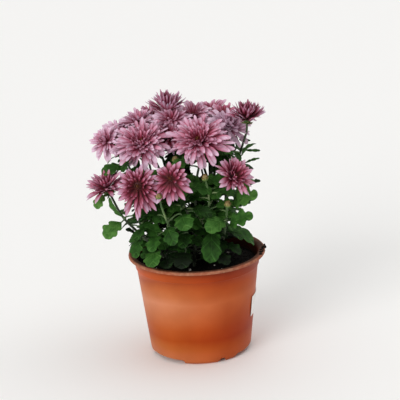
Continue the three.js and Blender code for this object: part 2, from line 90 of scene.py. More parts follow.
def addSums(tree, made, sums):
    # adds one Math node a line, such as a = b * c + d, a = b - c or a = sine b, and keeps it under its name;
    # a term is the name of what is made already, or a number
    for line in sums.strip().split("\n"):
        name, terms = line.split()[0], line.split()[2:]
        if len(terms) == 5:
            operation, terms = "MULTIPLY_ADD", terms[::2]
        elif terms[1:] and terms[1] in signs:
            operation, terms = signs[terms[1]], terms[::2]
        else:
            operation, terms = terms[0].upper(), terms[1:]
        values = [made[t] if t in made else float(t) for t in terms]
        made[name] = addNode(tree, "ShaderNodeMath", dict(enumerate(values)), operation=operation)


def newMaterial(name, roughness, **fixed):
    # a material with its shader's even values set
    material = bpy.data.materials.new(name)
    material.use_nodes = True
    tree = material.node_tree
    shader = tree.nodes["Principled BSDF"]
    setInputs(tree, shader, {"Roughness": roughness})
    setInputs(tree, shader, {key.replace("_", " "): value for key, value in fixed.items()})
    return material, tree, shader


def speckled(name, roughness, size, detail, stops, bump=None, **fixed):
    # a material in soft spots of a size in mm; bump is its strength, and its depth in metres
    material, tree, shader = newMaterial(name, roughness, **fixed)
    place = addNode(tree, "ShaderNodeTexCoord").outputs["Object"]
    spots = addNode(tree, "ShaderNodeTexNoise", {"Vector": place, "Scale": perMetre(size), "Detail": detail})
    setInputs(tree, shader, {"Base Color": addNode(tree, "ShaderNodeValToRGB", {"Fac": spots}, stops)})
    if bump:
        uneven = addNode(tree, "ShaderNodeBump", {"Height": spots, "Strength": bump[0], "Distance": bump[1]})
        setInputs(tree, shader, {"Normal": uneven})
    return material


def newTree(name, **inputs):
    # a node tree with named inputs: a default that is a whole number or a number, or else the kind of socket
    tree = bpy.data.node_groups.new(name, "GeometryNodeTree")
    tree.interface.new_socket("Geometry", in_out="INPUT", socket_type="NodeSocketGeometry")
    for label, value in inputs.items():
        kind = value if isinstance(value, str) else {int: "Int", float: "Float"}[type(value)]
        socket = tree.interface.new_socket(label, in_out="INPUT", socket_type="NodeSocket" + kind)
        if value != kind:
            socket.default_value = value
    tree.interface.new_socket("Geometry", in_out="OUTPUT", socket_type="NodeSocketGeometry")
    start = addNode(tree, "NodeGroupInput")
    return tree, {socket.name: socket for socket in start.outputs if socket.name}


def endTree(tree, geometry, material):
    realized = addNode(tree, "GeometryNodeRealizeInstances", {"Geometry": geometry})
    painted = addNode(tree, "GeometryNodeSetMaterial", {"Geometry": realized, "Material": material})
    addNode(tree, "NodeGroupOutput", {"Geometry": painted})
    return tree


def blankCopies(tree, made, points):
    # one loose copy of the blank at every point
    blank = addNode(tree, "GeometryNodeObjectInfo", {"Object": made["blank"]}).outputs["Geometry"]
    copies = addNode(tree, "GeometryNodeInstanceOnPoints", {"Points": points, "Instance": blank})
    return addNode(tree, "GeometryNodeRealizeInstances", {"Geometry": copies})


def strewnCopies(tree, made, shape, turn=None):
    # strews scaled copies of a shape over faces, standing out from them or turned
    strewn = addNode(tree, "GeometryNodeDistributePointsOnFaces",
                     {"Mesh": made["Geometry"], "Density": made["perArea"], "Seed": made["seed"]})
    size = addNode(tree, "FunctionNodeRandomValue",
                   {2: made["least"], 3: made["most"], "Seed": made["seed"]}, data_type="FLOAT")
    copies = addNode(tree, "GeometryNodeInstanceOnPoints", {
        "Points": strewn, "Instance": shape, "Rotation": turn or strewn.outputs["Rotation"],
        "Scale": size.outputs[1],
    })
    return endTree(tree, copies, made["material"])


def linked(name, data):
    # an object of the scene, from its data
    thing = bpy.data.objects.new(name, data)
    scene.collection.objects.link(thing)
    return thing


def grown(tree, values, source=None):
    # runs a tree with its inputs set by identifier, and returns the result as a plain mesh
    holder = linked("holder", source or bpy.data.meshes.new("ground"))
    modifier = holder.modifiers.new("grow", "NODES")
    modifier.node_group = tree
    for item in tree.interface.items_tree:
        if item.in_out == "INPUT" and item.name in values:
            modifier[item.identifier] = values[item.name]
    bpy.context.view_layer.update()
    evaluated = holder.evaluated_get(bpy.context.evaluated_depsgraph_get())
    mesh = bpy.data.meshes.new_from_object(evaluated)
    holder.modifiers.remove(modifier)
    bpy.data.objects.remove(holder)
    return mesh


def uvLayer(tree, *names):
    # the two parts of a mesh's UV, under their names
    uv = addNode(tree, "ShaderNodeTexCoord").outputs["UV"]
    return dict(zip(names, addNode(tree, "ShaderNodeSeparateXYZ", {0: uv}).outputs))


# Mesh tools

def onCircle(radius, angle, z):
    return (radius * math.cos(angle), radius * math.sin(angle), z)


def meshOf(name, points, faces, layer=None):
    # a mesh from points and faces, with an optional UV pair for each point
    mesh = bpy.data.meshes.new(name)
    mesh.from_pydata([tuple(p) for p in points], [], faces)
    if layer:
        uv = mesh.uv_layers.new(name="UVMap")
        for loop in mesh.loops:
            uv.data[loop.index].uv = layer[loop.vertex_index]
    return mesh


def facedOut(mesh):
    # merges doubles and turns every face outwards
    work = bmesh.new()
    work.from_mesh(mesh)
    bmesh.ops.remove_doubles(work, verts=work.verts, dist=1e-4)
    bmesh.ops.recalc_face_normals(work, faces=work.faces)
    work.to_mesh(mesh)
    work.free()
    return mesh


def lathed(name, profile, steps, shape=None):
    # a closed turned shape: profile points are radius and height, from one pole to the other.
    # shape(angle, radius, height) may move a point.
    points, rings = [], []
    for radius, height in profile:
        ring = []
        for i in range(1 if radius == 0 else steps):
            angle = fullTurn * i / steps
            r, z = shape(angle, radius, height) if shape else (radius, height)
            ring.append(len(points))
            points.append(onCircle(r, angle, z))
        rings.append(ring)
    faces = []
    for low, high in zip(rings, rings[1:]):
        for i in range(steps):
            turns = ((low, i), (low, i + 1), (high, i + 1), (high, i))
            faces.append(list(dict.fromkeys(ring[k % len(ring)] for ring, k in turns)))
    return facedOut(meshOf(name, points, faces))


def shadeSmooth(mesh, sharpAngle=180):
    mesh.shade_smooth()
    if sharpAngle < 180:
        mesh.set_sharp_from_angle(angle=math.radians(sharpAngle))
    return mesh


def twoSided(last, shares, pointed=False):
    # Numbers a sheet's points by row, share across from -1 to 1, and side: 1 on top, -1 beneath, and 0 on
    # the rim where the sides meet. A pointed sheet has one point in its last row. Returns its faces too.
    ids, faces = {}, []
    for row in range(last + 1):
        for share in ([0] if pointed and row == last else shares):
            rim = row in (0, last) or abs(share) == 1
            for side in ((0,) if rim else (1, -1)):
                ids[row, share, side] = len(ids)
    for row in range(last):
        for a, b in zip(shares, shares[1:]):
            corners = [(row, a), (row, b), (row + 1, b), (row + 1, a)]
            if pointed and row == last - 1:
                corners[2:] = [(last, 0)]
            for side in (1, -1):
                faces.append([ids.get((*c, side), ids.get((*c, 0))) for c in corners[::side]])
    return ids, faces


def blankObject(mesh, ids=None):
    # an object to copy; the rim of a two-sided sheet is sharp
    rim = {v for (row, share, side), v in (ids or {}).items() if side == 0}
    for edge in mesh.edges:
        edge.use_edge_sharp = set(edge.vertices) <= rim
    return linked(mesh.name, mesh)


def aimedAlong(place, axis):
    # turns +Z to an axis, with +X level, and moves to a place
    across = Vector((0, 0, 1)).cross(axis)
    across = across.normalized() if across.length > 1e-6 else Vector((1, 0, 0))
    up = axis.cross(across)
    return Matrix.Translation(place) @ Matrix((across, up, axis)).transposed().to_4x4()


def finishPiece(name, meshes, node):
    # joins meshes that are in mm into one piece in metres, which stands for a CAD node
    for mesh in meshes:
        mesh.transform(toMetres)
    parts = [linked(name, mesh) for mesh in meshes]
    piece = parts[0]
    if len(parts) > 1:
        with bpy.context.temp_override(active_object=piece, selected_editable_objects=parts):
            bpy.ops.object.join()
    piece.name = name
    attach(piece, "root")
    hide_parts(node)


# Camera, floor and light

cameraSettings = {
    "pitch": 16.43,                 # degrees that it looks down
    "roll": 2.73,
    "target": (5.4, 0, 146.7),
    "distance": 1200,
    "focalLength": 114.83,          # on a sensor 36 mm wide
    "sensor": 36,
    "nearest": 0.01,
}

studioSettings = {
    "floorSize": 20000,
    "floorColour": "fbfaf8",
    "skyColour": "ffffff",
    "skyStrength": 0.28,
    # name, direction that it shines from, watts for each square metre, and how wide it looks in degrees
    "lamps": [
        ("keyLamp", (-0.7, -1, 0.5), 1.55, 36),
        ("windowLamp", (-1, -0.8, 0.05), 0.6, 60),
        ("sideLamp", (1, 0.1, 0.15), 0.45, 40),
        ("topLamp", (0.1, 0.25, 1), 1.45, 90),
    ],
}


def buildCamera():
    s = cameraSettings
    data = bpy.data.cameras.new("studioCamera")
    data.sensor_fit = "HORIZONTAL"
    data.sensor_width = s["sensor"]
    data.lens = s["focalLength"]
    data.clip_start = s["nearest"]
    target, back = Vector(s["target"]) * 0.001, Vector((0, 0, s["distance"])) * 0.001
    tilt = Matrix.Rotation(math.radians(90 - s["pitch"]), 4, "X")
    roll = Matrix.Rotation(math.radians(-s["roll"]), 4, "Z")
    scene.camera = linked("studioCamera", data)
    scene.camera.matrix_world = Matrix.Translation(target) @ tilt @ roll @ Matrix.Translation(back)


def buildStudio():
    s = studioSettings
    half = s["floorSize"] / 2
    corners = [(-half, -half, 0), (half, -half, 0), (half, half, 0), (-half, half, 0)]
    mesh = meshOf("studioFloor", corners, [(0, 1, 2, 3)])
    mesh.transform(toMetres)
    mesh.materials.append(newMaterial("paintedBoardFloor", 0.9, Base_Color=linear(s["floorColour"]))[0])
    linked("studioFloor", mesh)
    world = bpy.data.worlds.new("studioSky")
    world.use_nodes = True
    sky = {"Color": linear(s["skyColour"]), "Strength": s["skyStrength"]}
    setInputs(world.node_tree, world.node_tree.nodes["Background"], sky)
    scene.world = world
    for name, direction, strength, width in s["lamps"]:
        data = bpy.data.lights.new(name, "SUN")
        data.energy = strength
        data.angle = math.radians(width)
        linked(name, data).rotation_euler = (-Vector(direction)).to_track_quat("-Z", "Y").to_euler()


buildCamera()
buildStudio()
scene.view_settings.view_transform = "Standard"
print("camera, floor and lights are in place")


# Pot

potSizes = {
    "height": 97.5,
    "rimRadius": 65,
    "footOuter": 46,
    "footInner": 42.6,
    "footRadius": 48.9,             # outside of the wall where it begins
    "footHeight": 8,
    "shoulderFoot": 84,
    "topRadius": 57.8,              # outside of the wall where the shoulder begins
    "shoulderRadius": 59.4,
    "throatRadius": 57.5,           # inside of the shoulder
    "wall": 1.4,
    "floorHeight": 4,
    "floorTop": 5.4,
    "floorRadius": 45.1,
    "padRadius": 10,
    "gaps": [(22.5, 27.5), (45, 97.5)],    # in the foot ring, in each third of a turn from the front
    "warp": 0.25,                   # how far the rim waves up and down
    "steps": 144,
}

potFinish = {
    # flow bands, which also carry a painted reflection and painted shade: how far they drift in metres, their
    # slant, and the height in metres that they share out
    "bandDrift": 0.012, "bandSlant": -0.06, "bandTop": 0.1,
    # size in mm and detail of each texture
    "drift": (70, 1), "mottle": (26, 2), "grit": (3.5, 4), "grain": (1.2, 2),
    "sides": 0.05,                  # metres to each side over which the painted sheen on the left gives way to painted shade on the right
}


def wallOuter(z):
    s = potSizes
    share = (z - s["footHeight"]) / (s["shoulderFoot"] - s["footHeight"])
    return s["footRadius"] + (s["topRadius"] - s["footRadius"]) * share


def makePotPlastic():
    # Injection moulded polypropylene in terracotta: satin, with soft flow bands round the wall that also
    # carry a painted reflection of the light, painted light under the lip against its shadow, a painted sheen
    # on the left side and painted shade on the right, a rim scuffed to a dull brown pink, and peat dust on
    # the inside, darkened nearly black as painted shade.
    s = potFinish
    material, tree, shader = newMaterial("mouldedPolypropylene", 0.42, IOR=1.49, Specular_IOR_Level=0.12)
    place = addNode(tree, "ShaderNodeTexCoord").outputs["Object"]
    made = {name: s[name] for name in ("bandDrift", "bandSlant", "bandTop")}
    for name in ("drift", "mottle", "grit", "grain"):
        size, detail = s[name]
        inputs = {"Vector": place, "Scale": perMetre(size), "Detail": detail}
        made[name] = addNode(tree, "ShaderNodeTexNoise", inputs)
    for name in ("scuff", "dust"):
        made[name] = addNode(tree, "ShaderNodeAttribute", attribute_name=name).outputs["Fac"]
    made["x"], _, made["z"] = addNode(tree, "ShaderNodeSeparateXYZ", {"Vector": place}).outputs
    addSums(tree, made, """
        slanted = x * bandSlant + z
        centred = drift - 0.5
        moved = centred * bandDrift + slanted
        band = moved / bandTop
    """)
    # painted sheen and shade: a tint that leaves the left side of the wall light and darkens the right side
    sheenAndShadeSide = addNode(tree, "ShaderNodeMapRange",
                        {"Value": made["x"], "From Min": -s["sides"], "From Max": s["sides"]})
    # the band colours: flow bands that are also a painted reflection of the light and painted shade; the top
    # stop is lighter as painted light against the shadow under the lip
    colour = addNode(tree, "ShaderNodeValToRGB", {"Fac": made["band"]}, [
        (0.0, "c07850"), (0.11, "bb6b41"), (0.16, "b4622d"), (0.25, "a6480e"), (0.35, "b05521"),
        (0.47, "bd6d44"), (0.61, "ca8260"), (0.68, "bd7047"), (0.75, "b76437"), (0.83, "a64e26"),
        (0.9, "c85820"),
    ])
    for value, stops in (
            (sheenAndShadeSide, [(0.1, "fffdf8"), (0.3, "fff3df"), (0.53, "ffddb9"), (0.76, "f1be8c")]),
            (made["mottle"], [(0.35, "f3efec"), (0.65, "ffffff")])):
        tint = addNode(tree, "ShaderNodeValToRGB", {"Fac": value}, stops)
        inputs = {"Factor": 1.0, 6: colour, 7: tint}
        colour = addNode(tree, "ShaderNodeMix", inputs, data_type="RGBA", blend_type="MULTIPLY").outputs[2]
    dulled = addNode(tree, "ShaderNodeValToRGB", {"Fac": made["grit"]},
                     [(0.30, "875240"), (0.50, "9a664e"), (0.75, "b08266")])
    # scuff is wear on the rim; the dark cover is peat dust and painted shade, nearly black on the inside of
    # the pot
    for factor, cover in (("scuff", dulled), ("dust", linear("170b06"))):
        inputs = {"Factor": made[factor], 6: colour, 7: cover}
        colour = addNode(tree, "ShaderNodeMix", inputs, data_type="RGBA").outputs[2]
    worn = addNode(tree, "ShaderNodeMapRange", {"Value": made["scuff"], "To Min": 0.42, "To Max": 0.62})
    bump = addNode(tree, "ShaderNodeBump", {"Height": made["grain"], "Strength": 0.12, "Distance": 0.0003})
    setInputs(tree, shader, {"Base Color": colour, "Roughness": worn, "Normal": bump})
    return material


def potShape(angle, radius, z):
    # lifts the foot ring where it has a gap, and waves the rim a little
    s = potSizes
    fromFront = math.degrees(angle + math.pi / 2) % 120
    inGap = any(a - 0.1 < fromFront < b + 0.1 for a, b in s["gaps"])
    if inGap and 12 < radius and z < s["floorHeight"] - 0.1:
        z = s["floorHeight"] - 0.3 + 0.05 * z
    still = s["shoulderFoot"] + 3
    if z > still:
        z += s["warp"] * (z - still) / (s["height"] - still) * math.sin(2 * angle + 1.1)
    return radius, z


def potProfile():
    # radius and height, from the middle of the underside round to the middle of the floor's top
    s = potSizes
    lip, edge, foot, shoulder = s["height"], s["rimRadius"], s["footHeight"], s["shoulderFoot"]
    pad, floor, throat = s["padRadius"], s["floorHeight"], s["throatRadius"]
    inner, outer = s["footInner"], s["footOuter"]
    heights = [foot + (shoulder - foot) * i / 12 for i in range(1, 13)]
    wall = [(wallOuter(z), z) for z in heights]
    return [
        (0, 0), (pad - 0.3, 0), (pad, 0.3), (pad + 0.9, floor - 0.3), (pad + 1.4, floor),
        (inner - 0.4, floor), (inner, floor - 0.3), (inner, 0.4), (inner + 0.4, 0), (outer - 0.4, 0),
        (outer, 0.25), (outer + 1.4, 1.9), (outer + 2.1, 3), (outer + 2.6, 5), (s["footRadius"], foot),
        *wall, (58.1, 84.25), (58.7, 84.6), (58.9, 85.1), (s["shoulderRadius"], lip - 2.1),
        (59.8, lip - 1.65), (edge - 1.9, lip - 1.7), (edge - 1.4, lip - 2), (edge - 1.25, lip - 2.6),
        (edge - 0.9, lip - 2.85), (edge - 0.35, lip - 2.8), (edge - 0.05, lip - 2.4), (edge, lip - 1.5),
        (edge - 0.2, lip - 0.7), (edge - 0.8, lip - 0.2), (edge - 2, lip - 0.05), (edge - 3.6, lip),
        (edge - 5, lip - 0.15), (edge - 6.1, lip - 0.8), (edge - 6.9, lip - 2), (throat, lip - 4),
        (throat, shoulder + 1), (56.9, 84.4),
        *[(r - s["wall"], z) for r, z in reversed(wall[:-1])],
        (s["footRadius"] - s["wall"], foot + 1), (s["floorRadius"], s["floorTop"]), (0, s["floorTop"]),
    ]


def buildPot():
    s = potSizes
    lip, edge = s["height"], s["rimRadius"]
    mesh = lathed("potWall", potProfile(), s["steps"], potShape)
    scuff = mesh.attributes.new("scuff", "FLOAT", "POINT")
    dust = mesh.attributes.new("dust", "FLOAT", "POINT")
    for v in mesh.vertices:
        z, radius = v.co.z, math.hypot(v.co.x, v.co.y)
        patch = noise.noise(v.co * 0.05) + 0.5
        if radius > edge - 4 or (z > lip - 1 and radius > edge - 7):
            scuff.data[v.index].value = 0.75 + 0.25 * patch
        # the inside of the wall and the throat: peat dust and painted shade, nearly black, a little less near
        # the lip
        inWall = z > s["footHeight"] and radius < wallOuter(min(z, s["shoulderFoot"])) - 0.2
        if inWall or (s["shoulderFoot"] + 3 < z < lip - 0.5 and radius < edge - 5.5):
            dust.data[v.index].value = 0.88 + 0.12 * patch - 0.25 * max(0, 1 - (lip - z) / 8)
        # the inner half of the rim's top: peat dust and painted shade
        elif z > lip - 1 and edge - 7 < radius < edge - 1.9:
            dust.data[v.index].value = 0.55 + 0.25 * patch
    mesh.materials.append(makePotPlastic())
    finishPiece("growersPot", [shadeSmooth(mesh, 50)], "pot")


buildPot()
print("pot is built")


# Potting mix with crumbs and perlite

soilSizes = {
    "wallTop": 86,                  # height at the wall
    "crown": 88.5,                  # height in the middle
    "radius": 57.2,
    "clearance": 0.3,
    "lumps": 1.1,                   # height of its lumps
    "steps": 96,
    "rings": 34,
}

crumbKinds = {
    # crumbs for each square mm, least and most size in mm
    "peatCrumbs": {"perArea": 0.10, "least": 0.7, "most": 2.1, "seed": 3},
    "perliteBits": {"perArea": 0.004, "least": 1.2, "most": 3.4, "seed": 11},
    "rimCrumbs": {"perArea": 0.3, "least": 0.7, "most": 2.8, "seed": 5},
}

rimCrumbPlace = {"from": -21, "to": 5, "inner": 61, "outer": 65.6, "steps": 8}   # degrees from +X and mm


def soilHeight(radius):
    s = soilSizes
    return s["wallTop"] + (s["crown"] - s["wallTop"]) * (1 - (radius / s["radius"]) ** 2)


def soilShape(angle, radius, z):
    # lumps on the open top, fading out at the wall
    s = soilSizes
    if z < s["wallTop"] - 0.5:
        return radius, z
    spot = Vector(onCircle(radius, angle, 0))
    lumps = noise.noise(spot * 0.09) + 0.55 * noise.noise(spot * 0.27) + 0.3 * noise.noise(spot * 0.7)
    edge = min(1, (s["radius"] - radius) / 6 + 0.3)
    return radius, z + s["lumps"] * lumps * edge


def crumbBlank():
    # one rough crumb, 1 mm across
    work = bmesh.new()
    bmesh.ops.create_icosphere(work, subdivisions=1, radius=0.5)
    for v in work.verts:
        v.co *= 1 + 0.6 * noise.noise(v.co * 3.1 + Vector((4, 7, 1)))
        v.co.z *= 0.75
    mesh = bpy.data.meshes.new("crumbBlank")
    work.to_mesh(mesh)
    work.free()
    return blankObject(mesh)


def crumbTree():
    # strews turned and scaled copies of a blank over faces
    tree, made = newTree(
        "strewnCrumbs", blank="Object", perArea=0.1, least=0.5, most=1.5, seed=1, material="Material")
    turn = addNode(tree, "FunctionNodeRandomValue",
                   {0: (0, 0, 0), 1: (fullTurn,) * 3, "Seed": made["seed"]}, data_type="FLOAT_VECTOR")
    blank = addNode(tree, "GeometryNodeObjectInfo", {"Object": made["blank"]}).outputs["Geometry"]
    return strewnCopies(tree, made, blank, turn)


def rimStrip():
    # the part of the rim that crumbs lie on
    s = rimCrumbPlace
    steps, sweep = s["steps"], s["to"] - s["from"]
    angles = [math.radians(s["from"] + sweep * i / steps) for i in range(steps + 1)]
    points = [onCircle(r, a, potSizes["height"]) for a in angles for r in (s["inner"], s["outer"])]
    return meshOf("rimStrip", points, [(2 * i, 2 * i + 1, 2 * i + 3, 2 * i + 2) for i in range(steps)])


def buildSoil():
    s = soilSizes
    gap = s["clearance"]
    floor, floorRadius = potSizes["floorTop"] + gap, potSizes["floorRadius"] - gap
    under = [(0, floor), (floorRadius, floor), (47.5 - gap, 9 + gap), (56.4 - gap, 84), (57.5 - gap, 84.9)]
    radii = [s["radius"] - s["radius"] / s["rings"] * i for i in range(s["rings"])]
    profile = under + [(r, soilHeight(r)) for r in radii] + [(0, s["crown"])]
    bed = lathed("peatBed", profile, s["steps"], soilShape)
    # Peat potting mix, damp: matt and nearly black, with brown fibre.
    peat = speckled("pottingPeat", 0.95, 1.8, 5, [(0.35, "060403"), (0.55, "0f0a07"), (0.75, "2a1c13")],
                    bump=(0.8, 0.0008), Specular_IOR_Level=0.2)
    # Expanded perlite: chalky white and matt, dusted with peat.
    perlite = speckled("expandedPerlite", 0.85, 1.5, 3, [(0.35, "b3a898"), (0.55, "efeae0")])
    bed.materials.append(peat)
    # crumbs stand on the open top alone
    topFaces = [list(f.vertices) for f in bed.polygons if f.normal.z > 0.5 and f.center.z > s["wallTop"] - 2]
    surface = meshOf("openTop", [v.co for v in bed.vertices], topFaces)
    strip, blank, tree = rimStrip(), crumbBlank(), crumbTree()
    meshes = [shadeSmooth(bed, 60)]
    for name, source, material in (
            ("peatCrumbs", surface, peat), ("perliteBits", surface, perlite), ("rimCrumbs", strip, peat)):
        meshes.append(grown(tree, {"blank": blank, "material": material, **crumbKinds[name]}, source))
    bpy.data.objects.remove(blank)
    finishPiece("pottingMix", meshes, "soil")


buildSoil()
print("potting mix is built")


# Label

labelSizes = {
    "angle": -10,                   # degrees from +X
    "width": 28,
    "top": 56,
    "bottom": 36,
    "thickness": 0.35,
    "off": 0.3,
    "lift": 0.5,                    # of its two ends
    "steps": 20,
    "rows": 6,
}


def buildLabel():
    # a sheet round the wall, with its two ends a little lifted
    s = labelSizes
    sweep = s["width"] / wallOuter(s["top"])
    points, faces = [], []
    heights = [s["bottom"] + (s["top"] - s["bottom"]) * k / s["rows"] for k in range(s["rows"] + 1)]
    ring = [(z, 0) for z in heights] + [(z, 1) for z in reversed(heights)]
    count, last = len(ring), s["steps"] * len(ring)
    for i in range(s["steps"] + 1):
        share = 2 * i / s["steps"] - 1
        angle = math.radians(s["angle"]) + sweep * share / 2
        for z, outer in ring:
            r = wallOuter(z) + s["off"] + outer * s["thickness"] + s["lift"] * abs(share) ** 8
            points.append(onCircle(r, angle, z))
    for i in range(0, last, count):
        for k in range(count):
            a, b = i + k, i + (k + 1) % count
            faces.append((a, b, b + count, a + count))
    faces += [tuple(range(count)), tuple(range(last + count - 1, last - 1, -1))]
    mesh = facedOut(meshOf("paperLabel", points, faces))
    # Coated label paper, blank: soft white, with a slight sheen and faint creases.
    paper = speckled("coatedLabelPaper", 0.5, 7, 2, [(0.3, "e9e6e0"), (0.6, "f7f6f3")], bump=(0.2, 0.0005))
    mesh.materials.append(paper)
    finishPiece("blankLabel", [shadeSmooth(mesh, 40)], "label")


buildLabel()
print("label is built")


# Petal whorls: rays, florets, bracts and bud scales all grow from one tree

blankShapes = {
    # share of the length, and half width as a share of the widest
    "blunt": [
        (0, 0.3), (0.16, 0.42), (0.38, 0.7), (0.58, 0.92), (0.75, 1), (0.89, 0.87), (0.965, 0.56), (1, 0.14),
    ],
    "pointed": [
        (0, 0.3), (0.16, 0.46), (0.38, 0.8), (0.56, 1), (0.74, 0.93), (0.88, 0.62), (0.965, 0.26), (1, 0.05),
    ],
    "scale": [(0, 0.5), (0.4, 1.0), (0.75, 0.8), (1, 0.1)],
}
blankColumns = {"blunt": (-1, -0.5, 0, 0.5, 1), "pointed": (-1, -0.5, 0, 0.5, 1), "scale": (-1, 0, 1)}

# how far chance moves a petal of wobble 1: turn in radians, lean and curl in degrees, and shares of its own
# length, width, roll and sway
whorlChances = dict(
    turnSpread=0.14, leanSpread=7, curlSpread=9, lengthSpread=0.09, widthSpread=0.1, rollSpread=0.28,
    swaySpread=0.09,
)


def petalBlank(kind):
    # a flat petal one unit long and two wide: X across, Y along, and Z its side
    rows = blankShapes[kind]
    ids, faces = twoSided(len(rows) - 1, blankColumns[kind])
    points = [(share * rows[row][1], rows[row][0], side) for row, share, side in ids]
    layer = [(0.5 + share / 2, rows[row][0]) for row, share, side in ids]
    mesh = meshOf(kind + "Blank", points, faces[::2] + faces[1::2], layer)
    under = mesh.attributes.new("under", "FLOAT", "POINT").data
    under.foreach_set("value", [(1 - side) / 2 for row, share, side in ids])
    return blankObject(mesh, ids)


def whorlTree():
    # Petals in a golden-angle spiral round +Z, the first outermost. Each is bent to an arc in its own plane.
    tree, made = newTree(
        "petalWhorl", blank="Object", petals=40, reach=20.0, crown=0.6, width=5.0, middleWidth=0.5, open=98.0,
        shut=14.0, curl=14.0, middleCurl=-20.0, cup=0.3, core=2.0, eye=0.0, foot=0.9, climb=2.6, droop=0.0,
        level=1.0, gather=1.35, wobble=1.8, thickness=0.15, age=0.0, seed=1, material="Material")
    made["index"] = addNode(tree, "GeometryNodeInputIndex")
    chances = ("turnChance", "leanChance", "lengthChance", "rollChance", "swayChance", "chance")
    for number, name in enumerate(chances):
        made["nextSeed"] = 100 * number
        addSums(tree, made, "itsSeed = seed + nextSeed")
        draw = {2: -1.0, 3: 1.0, "ID": made["index"], "Seed": made["itsSeed"]}
        made[name] = addNode(tree, "FunctionNodeRandomValue", draw, data_type="FLOAT").outputs[1]
    made.update(whorlChances, goldenTurn=goldenTurn, degree=math.pi / 180, twoDegrees=math.pi / 90)
    addSums(tree, made, """
        last = petals - 1
        share = index / last
        inward = share ^ gather
        spiral = index * goldenTurn
        turnOff = turnChance * turnSpread
        turn = turnOff * wobble + spiral
        turnSine = sine turn
        fall = turnSine * level
        lower = fall * -1
        lowerOnly = maximum lower 0
        hanging = lowerOnly * droop + 1
        crownLoss = crown - 1
        shorter = crownLoss * inward + 1
        lengthOff = lengthChance * lengthSpread
        uneven = lengthOff * wobble + 1
        reached = reach * shorter
        reachedHung = reached * hanging
        petalLength = reachedHung * uneven
        shutting = shut - open
        leanBase = shutting * inward + open
        leanOff = leanChance * leanSpread
        leanNow = leanOff * wobble + leanBase
        curling = middleCurl - curl
        curlBase = curling * inward + curl
        curlOff = swayChance * curlSpread
        curlNow = curlOff * wobble + curlBase
        curve = curlNow * twoDegrees
        leanRadians = leanNow * degree
        startLean = curve * -0.31 + leanRadians
        narrowing = middleWidth - 1
        narrower = narrowing * inward + 1
        halfBase = width * 0.5
        halfNarrow = halfBase * narrower
        widthOff = leanChance * widthSpread + 1
        halfWidth = halfNarrow * widthOff
        outwardShare = 1 - inward
        footOut = core * outwardShare + eye
        footUp = climb * inward + foot
        rollOff = rollChance * rollSpread
        roll = rollOff * wobble
        swayOff = swayChance * swaySpread
        sway = swayOff * petalLength
    """)
    points = addNode(tree, "GeometryNodePoints", {"Count": made["petals"]})
    for name in ("inward", "chance", "age"):
        inputs = {"Geometry": points, "Name": name, "Value": made[name]}
        points = addNode(tree, "GeometryNodeStoreNamedAttribute", inputs, data_type="FLOAT", domain="POINT")
    holder = addNode(tree, "GeometryNodeCaptureAttribute", {"Geometry": points}, domain="POINT")
    held = ("turn", "startLean", "curve", "petalLength", "halfWidth", "footOut", "footUp", "roll", "sway")
    for name in held:
        holder.capture_items.new("FLOAT", name)
    for number, name in enumerate(held):
        setInputs(tree, holder, {number + 1: made[name]})
        made[name] = holder.outputs[number + 1]
    loose = blankCopies(tree, made, holder)
    place = addNode(tree, "ShaderNodeSeparateXYZ", {0: addNode(tree, "GeometryNodeInputPosition")})
    made["across"], made["along"], made["layer"] = place.outputs
    addSums(tree, made, """
        bend = along * curve + startLean
        startCosine = cosine startLean
        startSine = sine startLean
        bendCosine = cosine bend
        bendSine = sine bend
        arcRadius = petalLength / curve
        arcOut = startCosine - bendCosine
        arcUp = bendSine - startSine
        ribOut = arcOut * arcRadius + footOut
        ribUp = arcUp * arcRadius + footUp
        alongSquare = along * along
        swayed = alongSquare * sway
        halfAcross = across * halfWidth
        aside = halfAcross + swayed
        acrossSquare = across * across
        trough = acrossSquare * halfWidth
        thick = layer * thickness
        cupped = trough * cup + thick
        lift = halfAcross * roll + cupped
        liftOut = bendCosine * lift
        out = ribOut - liftOut
        up = bendSine * lift + ribUp
        heldCosine = cosine turn
        heldSine = sine turn
        outX = out * heldCosine
        outY = out * heldSine
        asideBack = aside * -1
        x = aside * heldSine + outX
        y = asideBack * heldCosine + outY
    """)
    bent = addNode(tree, "ShaderNodeCombineXYZ", {0: made["x"], 1: made["y"], 2: made["up"]})
    moved = addNode(tree, "GeometryNodeSetPosition", {"Geometry": loose, "Position": bent})
    return endTree(tree, moved, made["material"])


# Blooms

bloomUsual = dict(
    petals=50, width=4.4, open=94, shut=20, crown=0.58, droop=0.0, cup=0.3, gather=1.35, curl=14.0,
    florets=18, floretReach=3.2, eye=0.0, age=0.0, lift=0.0, wobble=1.8, tips="blunt", tiers=[],
)

